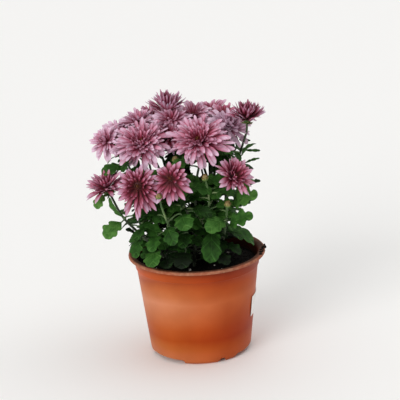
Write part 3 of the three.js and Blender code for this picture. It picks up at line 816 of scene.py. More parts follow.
# heart: where the petals spring from; face: turn from the front and rise, in degrees;
# reach: length of the outermost petals; crown: that of the innermost as a share of it;
# droop: how much longer the lower petals are; width: of the outermost petals;
# open, shut: lean from the axis, outermost and innermost; gather: above 1 the petals crowd outwards;
# curl: half of an outermost petal's bend, in degrees; cup: how far its edges rise;
# wobble: how uneven it all is; tips: shape of the petals; eye: radius of an open disc of florets;
# florets, floretReach: their count and length; age: a bloom pales as it ages, and a young one is darker;
# lift: how far the whorl stands up its axis; tiers: more whorls of the same head, with what differs
blooms = {
    "bloom_01": dict(
        heart=(7, -30, 210), face=(-20, 50), reach=28, crown=0.3, droop=-0.4, petals=250, width=4.9,
        open=103, shut=36, gather=1.0, cup=0.5, wobble=2.3, age=0.07, eye=1.8, florets=34, floretReach=5.4,
    ),
    "bloom_02": dict(
        heart=(-45, -24, 208), face=(-8, 57), reach=28, crown=0.32, droop=-0.38, petals=230, width=4.8,
        open=103, shut=36, gather=1.0, cup=0.5, wobble=2.2, age=0.12, eye=1.8, florets=34, floretReach=5.4,
    ),
    "bloom_03": dict(
        heart=(-77, -8, 208), face=(-35, 38), reach=17, crown=0.5, petals=88, open=92, shut=18,
        tips="pointed", age=0.25,
    ),
    "bloom_04": dict(
        heart=(-21, 8, 224), face=(-6, 84), reach=20, crown=0.74, petals=112, width=3.6, open=62, shut=2,
        curl=-4, tips="pointed", lift=7, age=-0.06,
        tiers=[dict(
            heart=(-18, 2, 223), face=(4, 46), reach=18, crown=0.5, petals=88, width=4.4, open=96, shut=30,
            curl=14, lift=0, age=0.24,
        )],
    ),
    "bloom_05": dict(
        heart=(-49, 21, 218), face=(-10, 82), reach=21, crown=0.42, petals=90, shut=46, gather=1.1,
        age=0.27,
    ),
    "bloom_06": dict(
        heart=(-69, 21, 208), face=(-40, 72), reach=21, crown=0.42, petals=72, open=90, shut=46, gather=1.1,
        age=0.42,
    ),
    "bloom_07": dict(
        heart=(3, 33, 219), face=(-10, 66), reach=19.5, crown=0.42, petals=96, width=4.8, open=88, shut=46,
        gather=1.1, age=0.14,
    ),
    "bloom_08": dict(
        heart=(20, 48, 217), face=(0, 62), reach=19, crown=0.42, petals=76, width=5.0, open=88, shut=46,
        gather=1.1, age=0.05,
    ),
    "bloom_09": dict(
        heart=(33, 34, 217), face=(30, 76), reach=19, crown=0.42, petals=80, open=88, shut=46, gather=1.1,
        age=0.02,
    ),
    "bloom_10": dict(
        heart=(35, 10, 212), face=(32, 60), reach=21, crown=0.5, petals=120, width=5.6, open=92, shut=24,
        gather=1.1, age=0.5,
    ),
    "bloom_11": dict(
        heart=(52, -2, 223), face=(12, 82), reach=18, crown=0.66, petals=100, width=4.0, open=80, shut=6,
        curl=-16, tips="pointed", age=-0.12,
    ),
    "bloom_12": dict(
        heart=(-49, -52, 178), face=(-8, 10), reach=15, crown=0.42, droop=0.7, petals=84, width=4.6,
        open=92, shut=40, tips="pointed", age=-0.08, eye=4.2, florets=80,
    ),
    "bloom_13": dict(
        heart=(-78, -32, 170), face=(-35, 60), reach=19, crown=0.62, petals=84, open=74, shut=8,
        tips="pointed", age=-0.02,
    ),
    "bloom_14": dict(
        heart=(-19, -57, 184), face=(-16, 22), reach=14, crown=0.5, droop=0.7, petals=44, width=5.6,
        open=90, shut=50, tips="pointed", age=-0.055, eye=3.0, florets=50,
    ),
    "bloom_15": dict(
        heart=(36, -44, 179), face=(42, 36), reach=17.5, crown=0.46, petals=84, width=4.8, open=76, shut=30,
        tips="pointed", eye=2.8, florets=50,
    ),
    "bloom_16": dict(
        heart=(-19.5, -8, 210.5), face=(0, 45), reach=18, petals=66, width=3.6, open=84, shut=24,
        tips="pointed", age=0.07,
    ),
    "bloom_17": dict(
        heart=(-37, 45, 215), face=(200, 66), reach=19, petals=70, open=92, shut=22, age=0.1,
    ),
    "bloom_18": dict(
        heart=(-50, 60, 190), face=(216, 40), reach=20, petals=80,
    ),
    "bloom_19": dict(
        heart=(18, 68, 190), face=(165, 40), reach=20, petals=80, age=0.05,
    ),
}

floretWhorl = dict(
    crown=0.8, width=1.1, middleWidth=1.0, open=34.0, shut=0.0, curl=-12.0, middleCurl=-20.0,
    foot=1.3, climb=2.0, gather=0.5,
)

# radius as a share of the core's, and height in mm
heartProfile = [(0, 0), (0.9, 0), (1, 1.2), (0.7, 2.9), (0, 4)]


def bloomPlace(name, back=0, tier=None):
    # the matrix that stands a bloom's own Z, or one of its tiers', along its axis, and the axis
    b = tier or blooms[name]
    turn, rise = (math.radians(a) for a in b["face"])
    axis = Vector((math.sin(turn) * math.cos(rise), -math.cos(turn) * math.cos(rise), math.sin(rise)))
    return aimedAlong(Vector(b["heart"]) - axis * back, axis), axis


def coreRadius(name):
    return max(2.6 + 0.07 * blooms[name]["reach"], blooms[name].get("eye", 0) + 1.2)


def makePetal():
    # Ray petals of a chrysanthemum: thin, satin and finely veined along their length, burgundy at the root,
    # darkened further as painted shade where the petals overlap, and in the young middle, mauve pink towards
    # the tip, with edges darkened as painted shade of the gaps between petals, and paler beneath. Young
    # blooms are cooler.
    material, tree, shader = newMaterial("rayPetal", 0.55, Sheen_Weight=0.05, Sheen_Roughness=0.4)
    made = uvLayer(tree, "across", "along")
    made["fiveTurns"] = fullTurn * 5
    for name in ("inward", "chance", "under", "age"):
        made[name] = addNode(tree, "ShaderNodeAttribute", attribute_name=name).outputs["Fac"]
    # the darkened edges are painted shade of the gaps between petals
    addSums(tree, made, """
        ageing = inward * -0.45 + 1
        reddening = along ^ 1.25
        ripe = reddening * ageing
        tinted = chance * 0.12 + ripe
        aged = tinted + age
        upperTone = under * 0.07 + aged
        offMiddle = across - 0.5
        offSquare = offMiddle * offMiddle
        offFourth = offSquare * offSquare
        tone = offFourth * -7.0 + upperTone
        veinTurn = across * fiveTurns
        veinSine = sine veinTurn
        veinShade = veinSine * 0.03 + tone
        young = age * -20
        youngest = minimum young 1
        youth = maximum youngest 0
    """)
    # the darkest stops at the root are partly the petals' own burgundy and partly painted shade between their
    # layers
    ramp = addNode(tree, "ShaderNodeValToRGB", {"Fac": made["veinShade"]}, [
        (0.0, "560815"), (0.19, "82192e"), (0.36, "aa4560"), (0.52, "c57690"), (0.75, "cf9db5"),
        (0.97, "dcbcd0"),
    ])
    bump = addNode(tree, "ShaderNodeBump", {"Height": made["veinSine"], "Strength": 0.25, "Distance": 0.0002})
    inputs = {"Factor": made["youth"], 6: ramp, 7: linear("f0ffff")}
    cooler = addNode(tree, "ShaderNodeMix", inputs, data_type="RGBA", blend_type="MULTIPLY")
    setInputs(tree, shader, {"Base Color": cooler.outputs[2], "Normal": bump})
    return material


def shadedToTip(name, roughness, edging, stops):
    # a material that changes from a petal's foot to its tip, sooner at its edges by the edging
    material, tree, shader = newMaterial(name, roughness)
    made = uvLayer(tree, "u", "v")
    made["edging"] = edging
    addSums(tree, made, """
        centred = u - 0.5
        fromRib = absolute centred
        shade = fromRib * edging + v
    """)
    ramp = addNode(tree, "ShaderNodeValToRGB", {"Fac": made["shade"]}, stops)
    setInputs(tree, shader, {"Base Color": ramp})
    return material


def buildBloom(name, number, tree, blanks, petal, floret):
    b = {**bloomUsual, **blooms[name]}
    core, eye = coreRadius(name), b["eye"]
    place, axis = bloomPlace(name)
    meshes = []
    for step, more in enumerate([{}] + b["tiers"]):
        tier = {**b, **more}
        stand, way = bloomPlace(name, -tier["lift"], tier)
        rays = grown(tree, {
            **tier, "blank": blanks[tier["tips"]], "core": (core - eye) * 0.45, "eye": eye * 0.85,
            "level": math.hypot(way.x, way.y), "seed": 10 + number + 40 * step, "material": petal,
        })
        rays.transform(stand)
        meshes.append(rays)
    middle = grown(tree, {
        **floretWhorl, "blank": blanks["scale"], "petals": b["florets"], "reach": b["floretReach"],
        "core": core * 0.8, "seed": 60 + number, "material": floret,
    })
    heart = lathed("bloomHeart", [(core * share, z) for share, z in heartProfile], 16)
    heart.materials.append(floret)
    for mesh in (middle, heart):
        mesh.transform(place)
        meshes.append(mesh)
    finishPiece("flowerHead" + name[-2:], [shadeSmooth(mesh) for mesh in meshes], name)


whorl = whorlTree()
blanks = {kind: petalBlank(kind) for kind in blankShapes}
petalFinish = makePetal()
# Disc florets: tiny waxy tubes, brown red with olive mouths.
floretFinish = shadedToTip("discFloret", 0.6, 0, [(0.0, "4a1218"), (0.6, "7a2a28"), (1.0, "966a3e")])
for number, name in enumerate(blooms):
    buildBloom(name, number, whorl, blanks, petalFinish, floretFinish)
print("blooms are built")


# Leafy stems

stemSizes = {
    "soilCrown": 88.5,
    "depth": 18,                    # how far a stem stands in the soil
    "trunk": (1.6, 1.25),           # radius at the foot and at the top, in mm
    "stalk": (1.15, 0.95),
    "budStalk": (0.95, 0.8),
    "leafStalk": (0.75, 0.55),
    "ribbing": 0.07,
    "straight": 9,                  # the last part of a stalk, which lies along its head's axis
    "underHeart": 2.5,              # how far below a bloom's heart its stalk ends
}

hairSizes = {"perArea": 0.35, "length": 0.9, "radius": 0.035}

leafSizes = {
    "growth": 1.15,                 # every leaf's length against its listed length
    "arch": 0.14,
    "fold": 0.16,
    "thickness": 0.22,
    "ripple": 0.05,
    "mesh": (30, 3),                # stations along the edge, and faces from the midrib to the edge
}

# leaves that fill the plant by rule: spaced along every stem, each a golden angle from the last
fillerSizes = {
    "mesh": (18, 1),
    "spacing": 4,
    "tries": 4,                     # directions tried at each place
    "lowest": 93,
    "highest": 204,
    "length": (17, 25),
    "slimness": 0.7,                # width against length
    "roll": 18,                     # most that a leaf rolls about its own length, in degrees
    "rise": (0.25, 0.35),           # of its stalk against its way out: usual, and by chance
    "hang": 0.35,                   # how much less its blade rises
    "tone": (44, 24, 102, 80),      # painted light and shade, how much lighter with the way out and up: where it is 0, and mm for 1
    "stalk": 7,
    "clear": 7.5,                   # least distance between the middles of two leaves
    "besideBloom": 3,
    "behindBloom": 7,
    "insidePot": 53,                # how far out a leaf may reach below the rim
    "box": ((-64, -44), (44, 76)),
    # gaps that stay open to the camera: a place in each one, and how far from it a leaf's midrib keeps
    "gaps": [
        ((8.9, -40, 185.6), 8.5), ((-29.2, -30, 193.7), 8), ((-38.9, -24, 186), 7.5), ((10.3, -38, 153.9), 4),
    ],
}

# root: where the stem stands in the soil; main: points that its trunk runs through;
# stalks: bloom, height up the trunk from 0 to 1, points on the way;
# buds: place, height up the trunk, points on the way;
# leaves: neck, tip and width, and then as far as they aren't usual: how much lighter it is, which is painted
# light and shade, its roll about its own length in degrees, and how lobed it is
stems = {
    "leafy_stem_1": {
        "root": (-25, -17),
        "main": [(-38, -25, 110), (-54, -29, 128)],
        "stalks": [("bloom_13", 1, [(-66, -31, 143)]), ("bloom_12", 0.9, [(-53, -30, 150)])],
        "buds": [],
        "leaves": [
            ((-67, -40, 141), (-80, -50, 131), 18, 1.1, -30, 0.35),
            ((-81, -34, 166), (-88, -39, 156), 12, 0.9, -30),
            ((-64, -36, 144), (-75, -38, 162), 8, 0.8, -35), ((-50, -44, 125), (-54, -58, 114), 15, 0.1),
            ((-55, -32, 125), (-63, -35, 131), 9, -0.4), ((-44, -36, 133), (-53, -50, 127), 14, 0.1),
            ((-37, -50, 116), (-39, -66, 107), 18, 0.4, 0, 0), ((-32, -30, 111), (-48, -42, 107), 17, 0.3),
            ((-42, -18, 112), (-60, -16, 106), 18, 0.1), ((-48, -30, 137), (-42, -44, 147), 13),
        ],
    },
    "leafy_stem_2": {
        "root": (-31, 4),
        "main": [(-35, 2, 120), (-45, 0, 158)],
        "stalks": [
            ("bloom_02", 1, [(-46, -8, 180)]), ("bloom_03", 0.9, [(-62, 0, 182)]),
            ("bloom_06", 0.8, [(-60, 10, 180)]),
        ],
        "buds": [],
        "leaves": [
            ((-63, -18, 187), (-80, -28, 184), 15, 0.2, -35), ((-70, -2, 193), (-77, -8, 189), 7, 0.6),
            ((-50, 4, 128), (-68, 8, 120), 18, -0.3), ((-55, 14, 158), (-74, 20, 160), 17),
            ((-52, -8, 148), (-68, -10, 154), 15), ((-46, 8, 106), (-62, 12, 101), 18, -0.2),
            ((-44, -4, 172), (-60, -12, 177), 14), ((-42, 6, 142), (-58, 16, 138), 18, -0.3),
            ((-38, -6, 116), (-54, -14, 120), 16, -0.2),
        ],
    },
    "leafy_stem_3": {
        "root": (-3, -21),
        "main": [(0, -23, 120), (1, -26, 147)],
        "stalks": [("bloom_01", 1, [(2, -29, 170)]), ("bloom_14", 0.78, [(-10, -36, 156)])],
        "buds": [
            ((-15, -28, 193), 0.9, [(-10, -24, 166)]),
            ((-31, -61, 169), 0.55, [(-21, -42, 130), (-25, -48, 141), (-29, -57, 158)]),
            ((11, -44, 179), 0.75, [(13, -36, 150), (13, -41, 168)]),
        ],
        "leaves": [
            ((-33, -42, 147), (-53, -44, 148), 12, -0.1), ((-12, -46, 147), (-8, -63, 139), 19, 0.4),
            ((-25, -51, 138), (-20, -66, 127), 15, 0.25), ((-34, -44, 128), (-39, -59, 119), 16, 0.4),
            ((-12, -42, 152), (-2, -48, 168), 10, -0.3), ((-2, -38, 150), (13, -52, 147), 12, -0.3),
            ((14, -38, 126), (12, -57, 107), 19, -0.1, 0, 0),
            ((-10, -45, 111), (-14, -60, 102), 20, -1.2, 0, 0.2),
            ((-28, -44, 107), (-26, -58, 102), 15, -0.9), ((-7, -40, 127), (-12, -56, 120), 15, -0.4),
            ((-24, -34, 152), (-37, -44, 155), 9, 0.2), ((18, -38, 104), (27, -48, 99), 16, -0.8),
            ((4, -30, 117), (20, -42, 121), 15), ((-6, -24, 134), (-22, -31, 139), 16),
            ((6, -22, 158), (19, -26, 167), 14, -0.1), ((-6, -20, 111), (-22, -28, 104), 18, -0.8),
        ],
    },
    "leafy_stem_4": {
        "root": (23, -9),
        "main": [(25, -12, 120), (29, -16, 148)],
        "stalks": [
            ("bloom_15", 0.9, [(30, -28, 162)]), ("bloom_11", 1, [(40, 0, 176), (47, 1, 197)]),
            ("bloom_10", 1, [(32, 4, 180)]),
        ],
        "buds": [((30, -46, 154), 0.6, [(28, -34, 132)])],
        "leaves": [
            ((27, -44, 139), (12, -58, 135), 17, 0.7), ((36, -30, 150), (55, -42, 160), 25, 0.65, 35, 1.5),
            ((38, -22, 158), (54, -26, 168), 16, 0.6, 0, 1.3),
            ((31, -38, 132), (50, -46, 142), 19, 0.6, 20, 1.2), ((52, -14, 162), (61, -15, 166), 9),
            ((46, 0, 188), (58, -3, 198), 9, 0.2), ((48, 4, 192), (62, 8, 190), 3, 0.1, 70),
            ((46, 6, 202), (54, 8, 200), 2.4, 0, 70), ((49, 2, 180), (61, 0, 184), 3, 0, 70),
            ((36, 4, 186), (40, 8, 207), 9, -0.3), ((27, -16, 121), (51, -11, 106), 20, 0.3),
            ((25, -24, 109), (39, -28, 102), 14, -0.7), ((20, -12, 152), (24, -14, 170), 15, -0.1),
            ((30, -6, 112), (47, 2, 105), 18, -0.6), ((34, -8, 140), (53, -3, 146), 18),
            ((22, -18, 134), (8, -26, 140), 15), ((38, 4, 168), (54, 12, 172), 15),
        ],
    },
    "leafy_stem_5": {
        "root": (-12, 18),
        "main": [(-16, 22, 120), (-22, 24, 160)],
        "stalks": [
            ("bloom_04", 1, [(-21, 14, 195)]), ("bloom_16", 0.95, [(-22, 8, 185)]),
            ("bloom_05", 0.9, [(-40, 26, 190)]), ("bloom_17", 0.92, [(-31, 36, 190)]),
            ("bloom_18", 0.6, [(-38, 40, 155)]),
        ],
        "buds": [],
        "leaves": [
            ((-30, 36, 130), (-44, 50, 122), 19, -0.2), ((-14, 42, 116), (-16, 60, 110), 20, -0.1),
            ((-44, 40, 152), (-60, 48, 148), 16, 0.1), ((-24, 44, 164), (-26, 62, 162), 17, 0.2),
            ((-30, 26, 106), (-46, 34, 101), 18, -0.3), ((-14, 12, 140), (-22, -3, 147), 15, -0.5),
            ((-26, 30, 178), (-42, 32, 184), 14), ((-8, 27, 104), (2, 43, 100), 17, -0.6),
        ],
    },
    "leafy_stem_6": {
        "root": (12, 20),
        "main": [(14, 24, 120), (16, 30, 160)],
        "stalks": [
            ("bloom_07", 0.95, [(6, 32, 190)]), ("bloom_08", 1, [(17, 46, 190)]),
            ("bloom_09", 0.92, [(28, 34, 188)]), ("bloom_19", 0.65, [(18, 46, 160)]),
        ],
        "buds": [((2, 54, 196), 0.85, [(6, 46, 176)])],
        "leaves": [
            ((30, 34, 132), (46, 46, 126), 20), ((12, 44, 118), (14, 62, 112), 20),
            ((34, 30, 156), (52, 34, 158), 17, 0.2), ((4, 48, 148), (-2, 66, 144), 17, 0.2),
            ((32, 22, 106), (48, 26, 101), 18, -0.5), ((28, 50, 168), (40, 64, 164), 14, 0.3),
            ((20, 34, 180), (35, 30, 187), 14), ((8, 20, 136), (1, 4, 142), 15, -0.5),
            ((22, 14, 112), (39, 8, 111), 18, -0.6),
        ],
    },
}


def smoothPath(points):
    # a centripetal Catmull-Rom curve through points, as a function of 0 to 1
    points = [Vector(p) for p in points]
    ends = [2 * points[0] - points[1], *points, 2 * points[-1] - points[-2]]

    def at(share):
        place = share * (len(points) - 1)
        i = min(int(place), len(points) - 2)
        t = place - i
        before, start, end, after = ends[i:i + 4]
        gaps = [max((b - a).length, 1e-4) ** 0.5 for a, b in ((before, start), (start, end), (end, after))]
        leave = (start - before) / gaps[0] - (end - before) / (gaps[0] + gaps[1]) + (end - start) / gaps[1]
        arrive = (end - start) / gaps[1] - (after - start) / (gaps[1] + gaps[2]) + (after - end) / gaps[2]
        leave, arrive = leave * gaps[1], arrive * gaps[1]
        square, cube = t * t, t ** 3
        return (start * (2 * cube - 3 * square + 1) + leave * (cube - 2 * square + t)
                + end * (3 * square - 2 * cube) + arrive * (cube - square))

    return at


def stemPaths(stem):
    # every path of a stem with its two radii, and the place and axis of each bud
    s = stemSizes
    (x, y), top = stem["root"], s["soilCrown"]
    trunk = smoothPath([(x, y, top - s["depth"]), (x, y, top - s["depth"] / 2), (x, y, top), *stem["main"]])
    paths, buds = [(trunk, s["trunk"])], []

    def addStalk(kind, height, way, end, axis):
        paths.append((smoothPath([trunk(height), *way, end - axis * s["straight"], end]), s[kind]))

    for bloom, height, way in stem["stalks"]:
        place, axis = bloomPlace(bloom)
        addStalk("stalk", height, way, place.translation - axis * s["underHeart"], axis)
    for place, height, way in stem["buds"]:
        rise = (Vector(place) - Vector(way[-1])).normalized()
        addStalk("budStalk", height, way, Vector(place), rise)
        buds.append((Vector(place), rise))
    return paths, buds


def leafFoot(paths, neck):
    # the place on the stem where a leaf's stalk starts: near its neck, and not far above it
    spots = [path(i / 32) for path, radii in paths for i in range(2, 31)]
    return min(spots, key=lambda spot: (spot - neck).length + 1.5 * max(0, spot.z - neck.z))


def stemTree():
    # turns paths into ribbed stems as thick as each point's radius
    tree, made = newTree("ribbedStems", ribbing=0.07, ribs=5, material="Material")
    made["index"] = addNode(tree, "GeometryNodeInputIndex")
    addSums(tree, made, """
        twice = ribs * 2
        odd = modulo index 2
        size = odd * ribbing + 1
    """)
    ring = addNode(tree, "GeometryNodeCurvePrimitiveCircle", {"Resolution": made["twice"], "Radius": 1.0})
    place = addNode(tree, "GeometryNodeInputPosition")
    wider = addNode(tree, "ShaderNodeVectorMath", {0: place, "Scale": made["size"]}, operation="SCALE")
    ribbed = addNode(tree, "GeometryNodeSetPosition", {"Geometry": ring, "Position": wider})
    radius = addNode(tree, "GeometryNodeInputRadius")
    girth = {"Geometry": made["Geometry"], "Name": "girth", "Value": radius}
    kept = addNode(tree, "GeometryNodeStoreNamedAttribute", girth, data_type="FLOAT", domain="POINT")
    stem = addNode(tree, "GeometryNodeCurveToMesh",
                   {"Curve": kept, "Profile Curve": ribbed, "Scale": radius, "Fill Caps": True})
    return endTree(tree, stem, made["material"])


def hairTree():
    # strews fine cones over a stem, each standing out from its surface
    tree, made = newTree(
        "stemHairs", perArea=0.3, length=0.9, radius=0.04, least=0.5, most=1.2, seed=1, material="Material")
    hair = addNode(tree, "GeometryNodeMeshCone", {
        "Vertices": 3, "Radius Top": 0.0, "Radius Bottom": made["radius"], "Depth": made["length"],
    })
    return strewnCopies(tree, made, hair)


# Half a leaf's edge from its neck to its tip: along, and half width as a share of the width.
# One with deep rounded lobes, and one with a shallow scalloped edge.
leafEdges = {
    "lobed": [
        (0, 0.045), (0.08, 0.06), (0.16, 0.13), (0.22, 0.27), (0.29, 0.40), (0.36, 0.44), (0.42, 0.36),
        (0.44, 0.22), (0.50, 0.26), (0.57, 0.42), (0.65, 0.49), (0.73, 0.45), (0.76, 0.33), (0.80, 0.25),
        (0.87, 0.28), (0.94, 0.23), (0.985, 0.13), (1, 0),
    ],
    "rounded": [
        (0, 0.045), (0.07, 0.08), (0.14, 0.17), (0.21, 0.29), (0.28, 0.38), (0.35, 0.425), (0.42, 0.415),
        (0.46, 0.37), (0.52, 0.41), (0.60, 0.48), (0.68, 0.5), (0.75, 0.455), (0.78, 0.39), (0.83, 0.39),
        (0.90, 0.34), (0.95, 0.24), (0.97, 0.13), (1, 0),
    ],
}

# what is kept on the point that each leaf grows from
leafWays = ("neck", "alongWay", "sideWay", "faceWay")
leafMeasures = ("length", "width", "arch", "fold", "lobing", "chance")


def leafBlank(last, columns):
    # A leaf one unit long and one wide, kept as two flat outlines in the attributes lobed and rounded:
    # X across, Y along, Z its side. UV: across from edge to edge, and the count along the edge.
    ids, faces = twoSided(last, [k / columns for k in range(-columns, columns + 1)], True)
    shapes = {kind: [] for kind in leafEdges}
    for kind, edge in leafEdges.items():
        outline = smoothPath([(*p, 0) for p in edge])
        for row, share, side in ids:
            along, half = outline(row / last)[:2]
            rib = max(0, along - 0.8 * half)
            shapes[kind].append((share * half, rib + (along - rib) * abs(share), side))
    layer = [(0.5 + share / 2, row / last) for row, share, side in ids]
    mesh = meshOf("leafBlank", shapes["lobed"], faces, layer)
    for kind, places in shapes.items():
        attribute = mesh.attributes.new(kind, "FLOAT_VECTOR", "POINT")
        attribute.data.foreach_set("vector", [c for p in places for c in p])
    return blankObject(mesh, ids)


def leafTree():
    # bends a blank leaf at every point, by the directions and sizes kept on the point
    tree, made = newTree("leaves", blank="Object", thickness=0.2, ripple=0.03, material="Material")
    loose = blankCopies(tree, made, made["Geometry"])
    for kind, names in (("FLOAT", leafMeasures), ("FLOAT_VECTOR", (*leafWays, *leafEdges))):
        for name in names:
            made[name] = addNode(tree, "GeometryNodeInputNamedAttribute", {"Name": name}, data_type=kind)
    inputs = {"Factor": made["lobing"], 4: made["rounded"], 5: made["lobed"]}
    outline = addNode(tree, "ShaderNodeMix", inputs, data_type="VECTOR", clamp_factor=False)
    place = addNode(tree, "ShaderNodeSeparateXYZ", {0: outline.outputs[1]})
    made["across"], made["along"], made["layer"] = place.outputs
    addSums(tree, made, """
        sideStep = across * width
        alongStep = along * length
        left = 1 - along
        bow = along * left
        bowed = bow * length
        arched = bowed * arch
        archedFour = arched * 4
        spread = absolute sideStep
        folded = spread * fold + archedFour
        ripplePhase = chance * 6
        rippleTurn = along * 15 + ripplePhase
        rippleSine = sine rippleTurn
        rippleWide = rippleSine * spread
        rippled = rippleWide * ripple + folded
        lift = layer * thickness + rippled
    """)
    total = made["neck"]
    for way, step in (("alongWay", "alongStep"), ("sideWay", "sideStep"), ("faceWay", "lift")):
        part = addNode(tree, "ShaderNodeVectorMath", {0: made[way], "Scale": made[step]}, operation="SCALE")
        total = addNode(tree, "ShaderNodeVectorMath", {0: total, 1: part}, operation="ADD")
    moved = addNode(tree, "GeometryNodeSetPosition", {"Geometry": loose, "Position": total})
    return endTree(tree, moved, made["material"])


def leafPoints(leaves):
    # one point for each leaf, with all that the tree needs kept on it
    mesh = meshOf("leafPoints", [leaf["neck"] for leaf in leaves], [])
    for name in leafWays:
        data = mesh.attributes.new(name, "FLOAT_VECTOR", "POINT").data
        data.foreach_set("vector", [c for leaf in leaves for c in leaf[name]])
    for name in leafMeasures:
        mesh.attributes.new(name, "FLOAT", "POINT").data.foreach_set("value", [leaf[name] for leaf in leaves])
    return mesh


def chanceAt(number):
    # an even draw from -1 to 1 that a number always gives again
    wave = math.sin(number * 12.9898) * 43758.5453
    return (wave - math.floor(wave)) * 2 - 1


def plantedLeaf(neck, tip, width, seed, tone=0, roll=0, lobing=None):
    # what one leaf needs: its directions along it, across it and out of its face, and its sizes
    along = (tip - neck).normalized()
    outward = Vector((neck.x, neck.y, 0)).normalized()
    side = (Vector((0, 0, 0.8)) + outward * 0.6).cross(along).normalized()
    turn = Matrix.Rotation(math.radians(roll), 3, along)
    if lobing is None:
        lobing = min(1, max(0, 0.45 + 0.55 * chanceAt(seed + 3)))
    # the chance attribute holds a random part plus the leaf's tone, which is painted light and shade
    return {
        "neck": neck, "alongWay": along, "sideWay": turn @ -side, "faceWay": turn @ along.cross(side),
        "length": (tip - neck).length, "width": width, "arch": leafSizes["arch"], "fold": leafSizes["fold"],
        "chance": 0.3 * chanceAt(seed) + tone, "lobing": lobing,
    }


def clearOfBlooms(spot):
    # whether a spot lies behind or beyond every bloom
    for name, bloom in blooms.items():
        place, axis = bloomPlace(name)
        offset = spot - place.translation
        near = offset.length < bloom["reach"] + fillerSizes["besideBloom"]
        if near and offset.dot(axis) > -fillerSizes["behindBloom"]:
            return False
    return True


def roomFor(neck, tip, taken):
    # whether a leaf there keeps clear of pot, soil, blooms and the leaves before it
    s = fillerSizes
    middle = (neck + tip) / 2
    (west, front), (east, back) = s["box"]
    for spot in (neck, middle, tip):
        reach = s["insidePot"] + max(0, spot.z - potSizes["height"] - 4)
        if spot.z < s["lowest"] or not (west < spot.x < east and front < spot.y < back):
            return False
        if math.hypot(spot.x, spot.y) > reach or not clearOfBlooms(spot):
            return False
    return all((middle - other).length > s["clear"] for other in taken)


def hidesGap(neck, tip):
    # whether a leaf stands before or behind a gap
    eye = scene.camera.matrix_world.translation * 1000
    for place, least in fillerSizes["gaps"]:
        sight = (Vector(place) - eye).normalized()
        for i in range(5):
            offset = neck.lerp(tip, i / 4) - eye
            if (offset - sight * offset.dot(sight)).length < least:
                return True
    return False


def fillerLeaves(paths, number, taken):
    # leaves spaced along every stem by the golden angle, with the place where each one's stalk starts
    s = fillerSizes
    least, most = s["length"]
    rise, varied = s["rise"]
    inner, outSpan, low, upSpan = s["tone"]
    made = []
    for k, (path, radii) in enumerate(paths):
        spots = [path(i / 40) for i in range(41)]
        total = sum((b - a).length for a, b in zip(spots, spots[1:]))
        count = int(total / s["spacing"])
        for i in range(s["tries"], count * s["tries"]):
            foot = path(i / count / s["tries"])
            seed = number * 900 + k * 210 + i
            turn = i * goldenTurn + number + k * 1.7
            out = Vector(onCircle(1, turn, rise + varied * chanceAt(seed)))
            length = least + (most - least) * (0.5 + 0.5 * chanceAt(seed + 1))
            neck = foot + out.normalized() * s["stalk"]
            out.z -= s["hang"]
            tip = neck + out.normalized() * length
            if not s["lowest"] - 5 <= foot.z <= s["highest"]:
                continue
            if not roomFor(neck, tip, taken) or hidesGap(neck, tip):
                continue
            middle = (neck + tip) / 2
            taken.append(middle)
            # painted shade: leaves deep in the plant are darker, and those further out and higher are lighter
            tone = (math.hypot(middle.x, middle.y) - inner) / outSpan + (middle.z - low) / upSpan
            tone = min(0.4, max(-1, tone))
            roll = s["roll"] * chanceAt(seed + 2)
            made.append((foot, plantedLeaf(neck, tip, length * s["slimness"], seed, tone, roll)))
    return made


def leafStalk(foot, leaf):
    # a short stalk that leaves the stem and runs into the leaf's midrib, over the last part of its own length
    neck = leaf["neck"]
    bare = 0.85
    turnPoint = neck - leaf["alongWay"] * (neck - foot).length * 0.45
    inside = neck + leaf["alongWay"] * leaf["length"] * 0.12 + leaf["faceWay"] * leaf["length"] * 0.04

    def at(share):
        if share > bare:
            return neck.lerp(inside, (share - bare) / (1 - bare))
        t = share / bare
        return foot * (1 - t) ** 2 + turnPoint * 2 * t * (1 - t) + neck * t * t

    return at


def pathCurve(paths, samples=14):
    # plain curve data through paths, with their radii
    data = bpy.data.curves.new("stemPaths", "CURVE")
    data.dimensions = "3D"
    for path, (start, end) in paths:
        spline = data.splines.new("POLY")
        spline.points.add(samples - 1)
        for i, point in enumerate(spline.points):
            share = i / (samples - 1)
            point.co = (*path(share), 1)
            point.radius = start + (end - start) * share
    return data


def makeStem():
    # Chrysanthemum stem: soft, pale green and faintly ribbed above, dull and half woody at the foot.
    material, tree, shader = newMaterial("softStem", 0.6, Sheen_Weight=0.1, Sheen_Roughness=0.5)
    place = addNode(tree, "ShaderNodeTexCoord").outputs["Object"]
    height = addNode(tree, "ShaderNodeSeparateXYZ", {0: place}).outputs["Z"]
    girth = addNode(tree, "ShaderNodeAttribute", attribute_name="girth").outputs["Fac"]
    patch = addNode(tree, "ShaderNodeTexNoise", {"Vector": place, "Scale": perMetre(14), "Detail": 2})
    shares = []
    for value, least, most, full in ((height, 0.105, 0.15, 1.0), (girth, 0.88, 0.98, 0.9)):
        inputs = {"Value": value, "From Min": least, "From Max": most, "To Max": full}
        shares.append(addNode(tree, "ShaderNodeMapRange", inputs))
    stops = [(0.3, "3a5a2a"), (0.5, "56753e"), (0.7, "7a915a")]
    colour = addNode(tree, "ShaderNodeValToRGB", {"Fac": patch}, stops)
    # the lower stem is dark, and its woody foot is dull
    for factor, colours in ((shares[0], (linear("26321a"), None)), (shares[1], (None, linear("2f3a26")))):
        inputs = {"Factor": factor, 6: colours[0] or colour, 7: colours[1] or colour}
        colour = addNode(tree, "ShaderNodeMix", inputs, data_type="RGBA").outputs[2]
    setInputs(tree, shader, {"Base Color": colour})
    return material


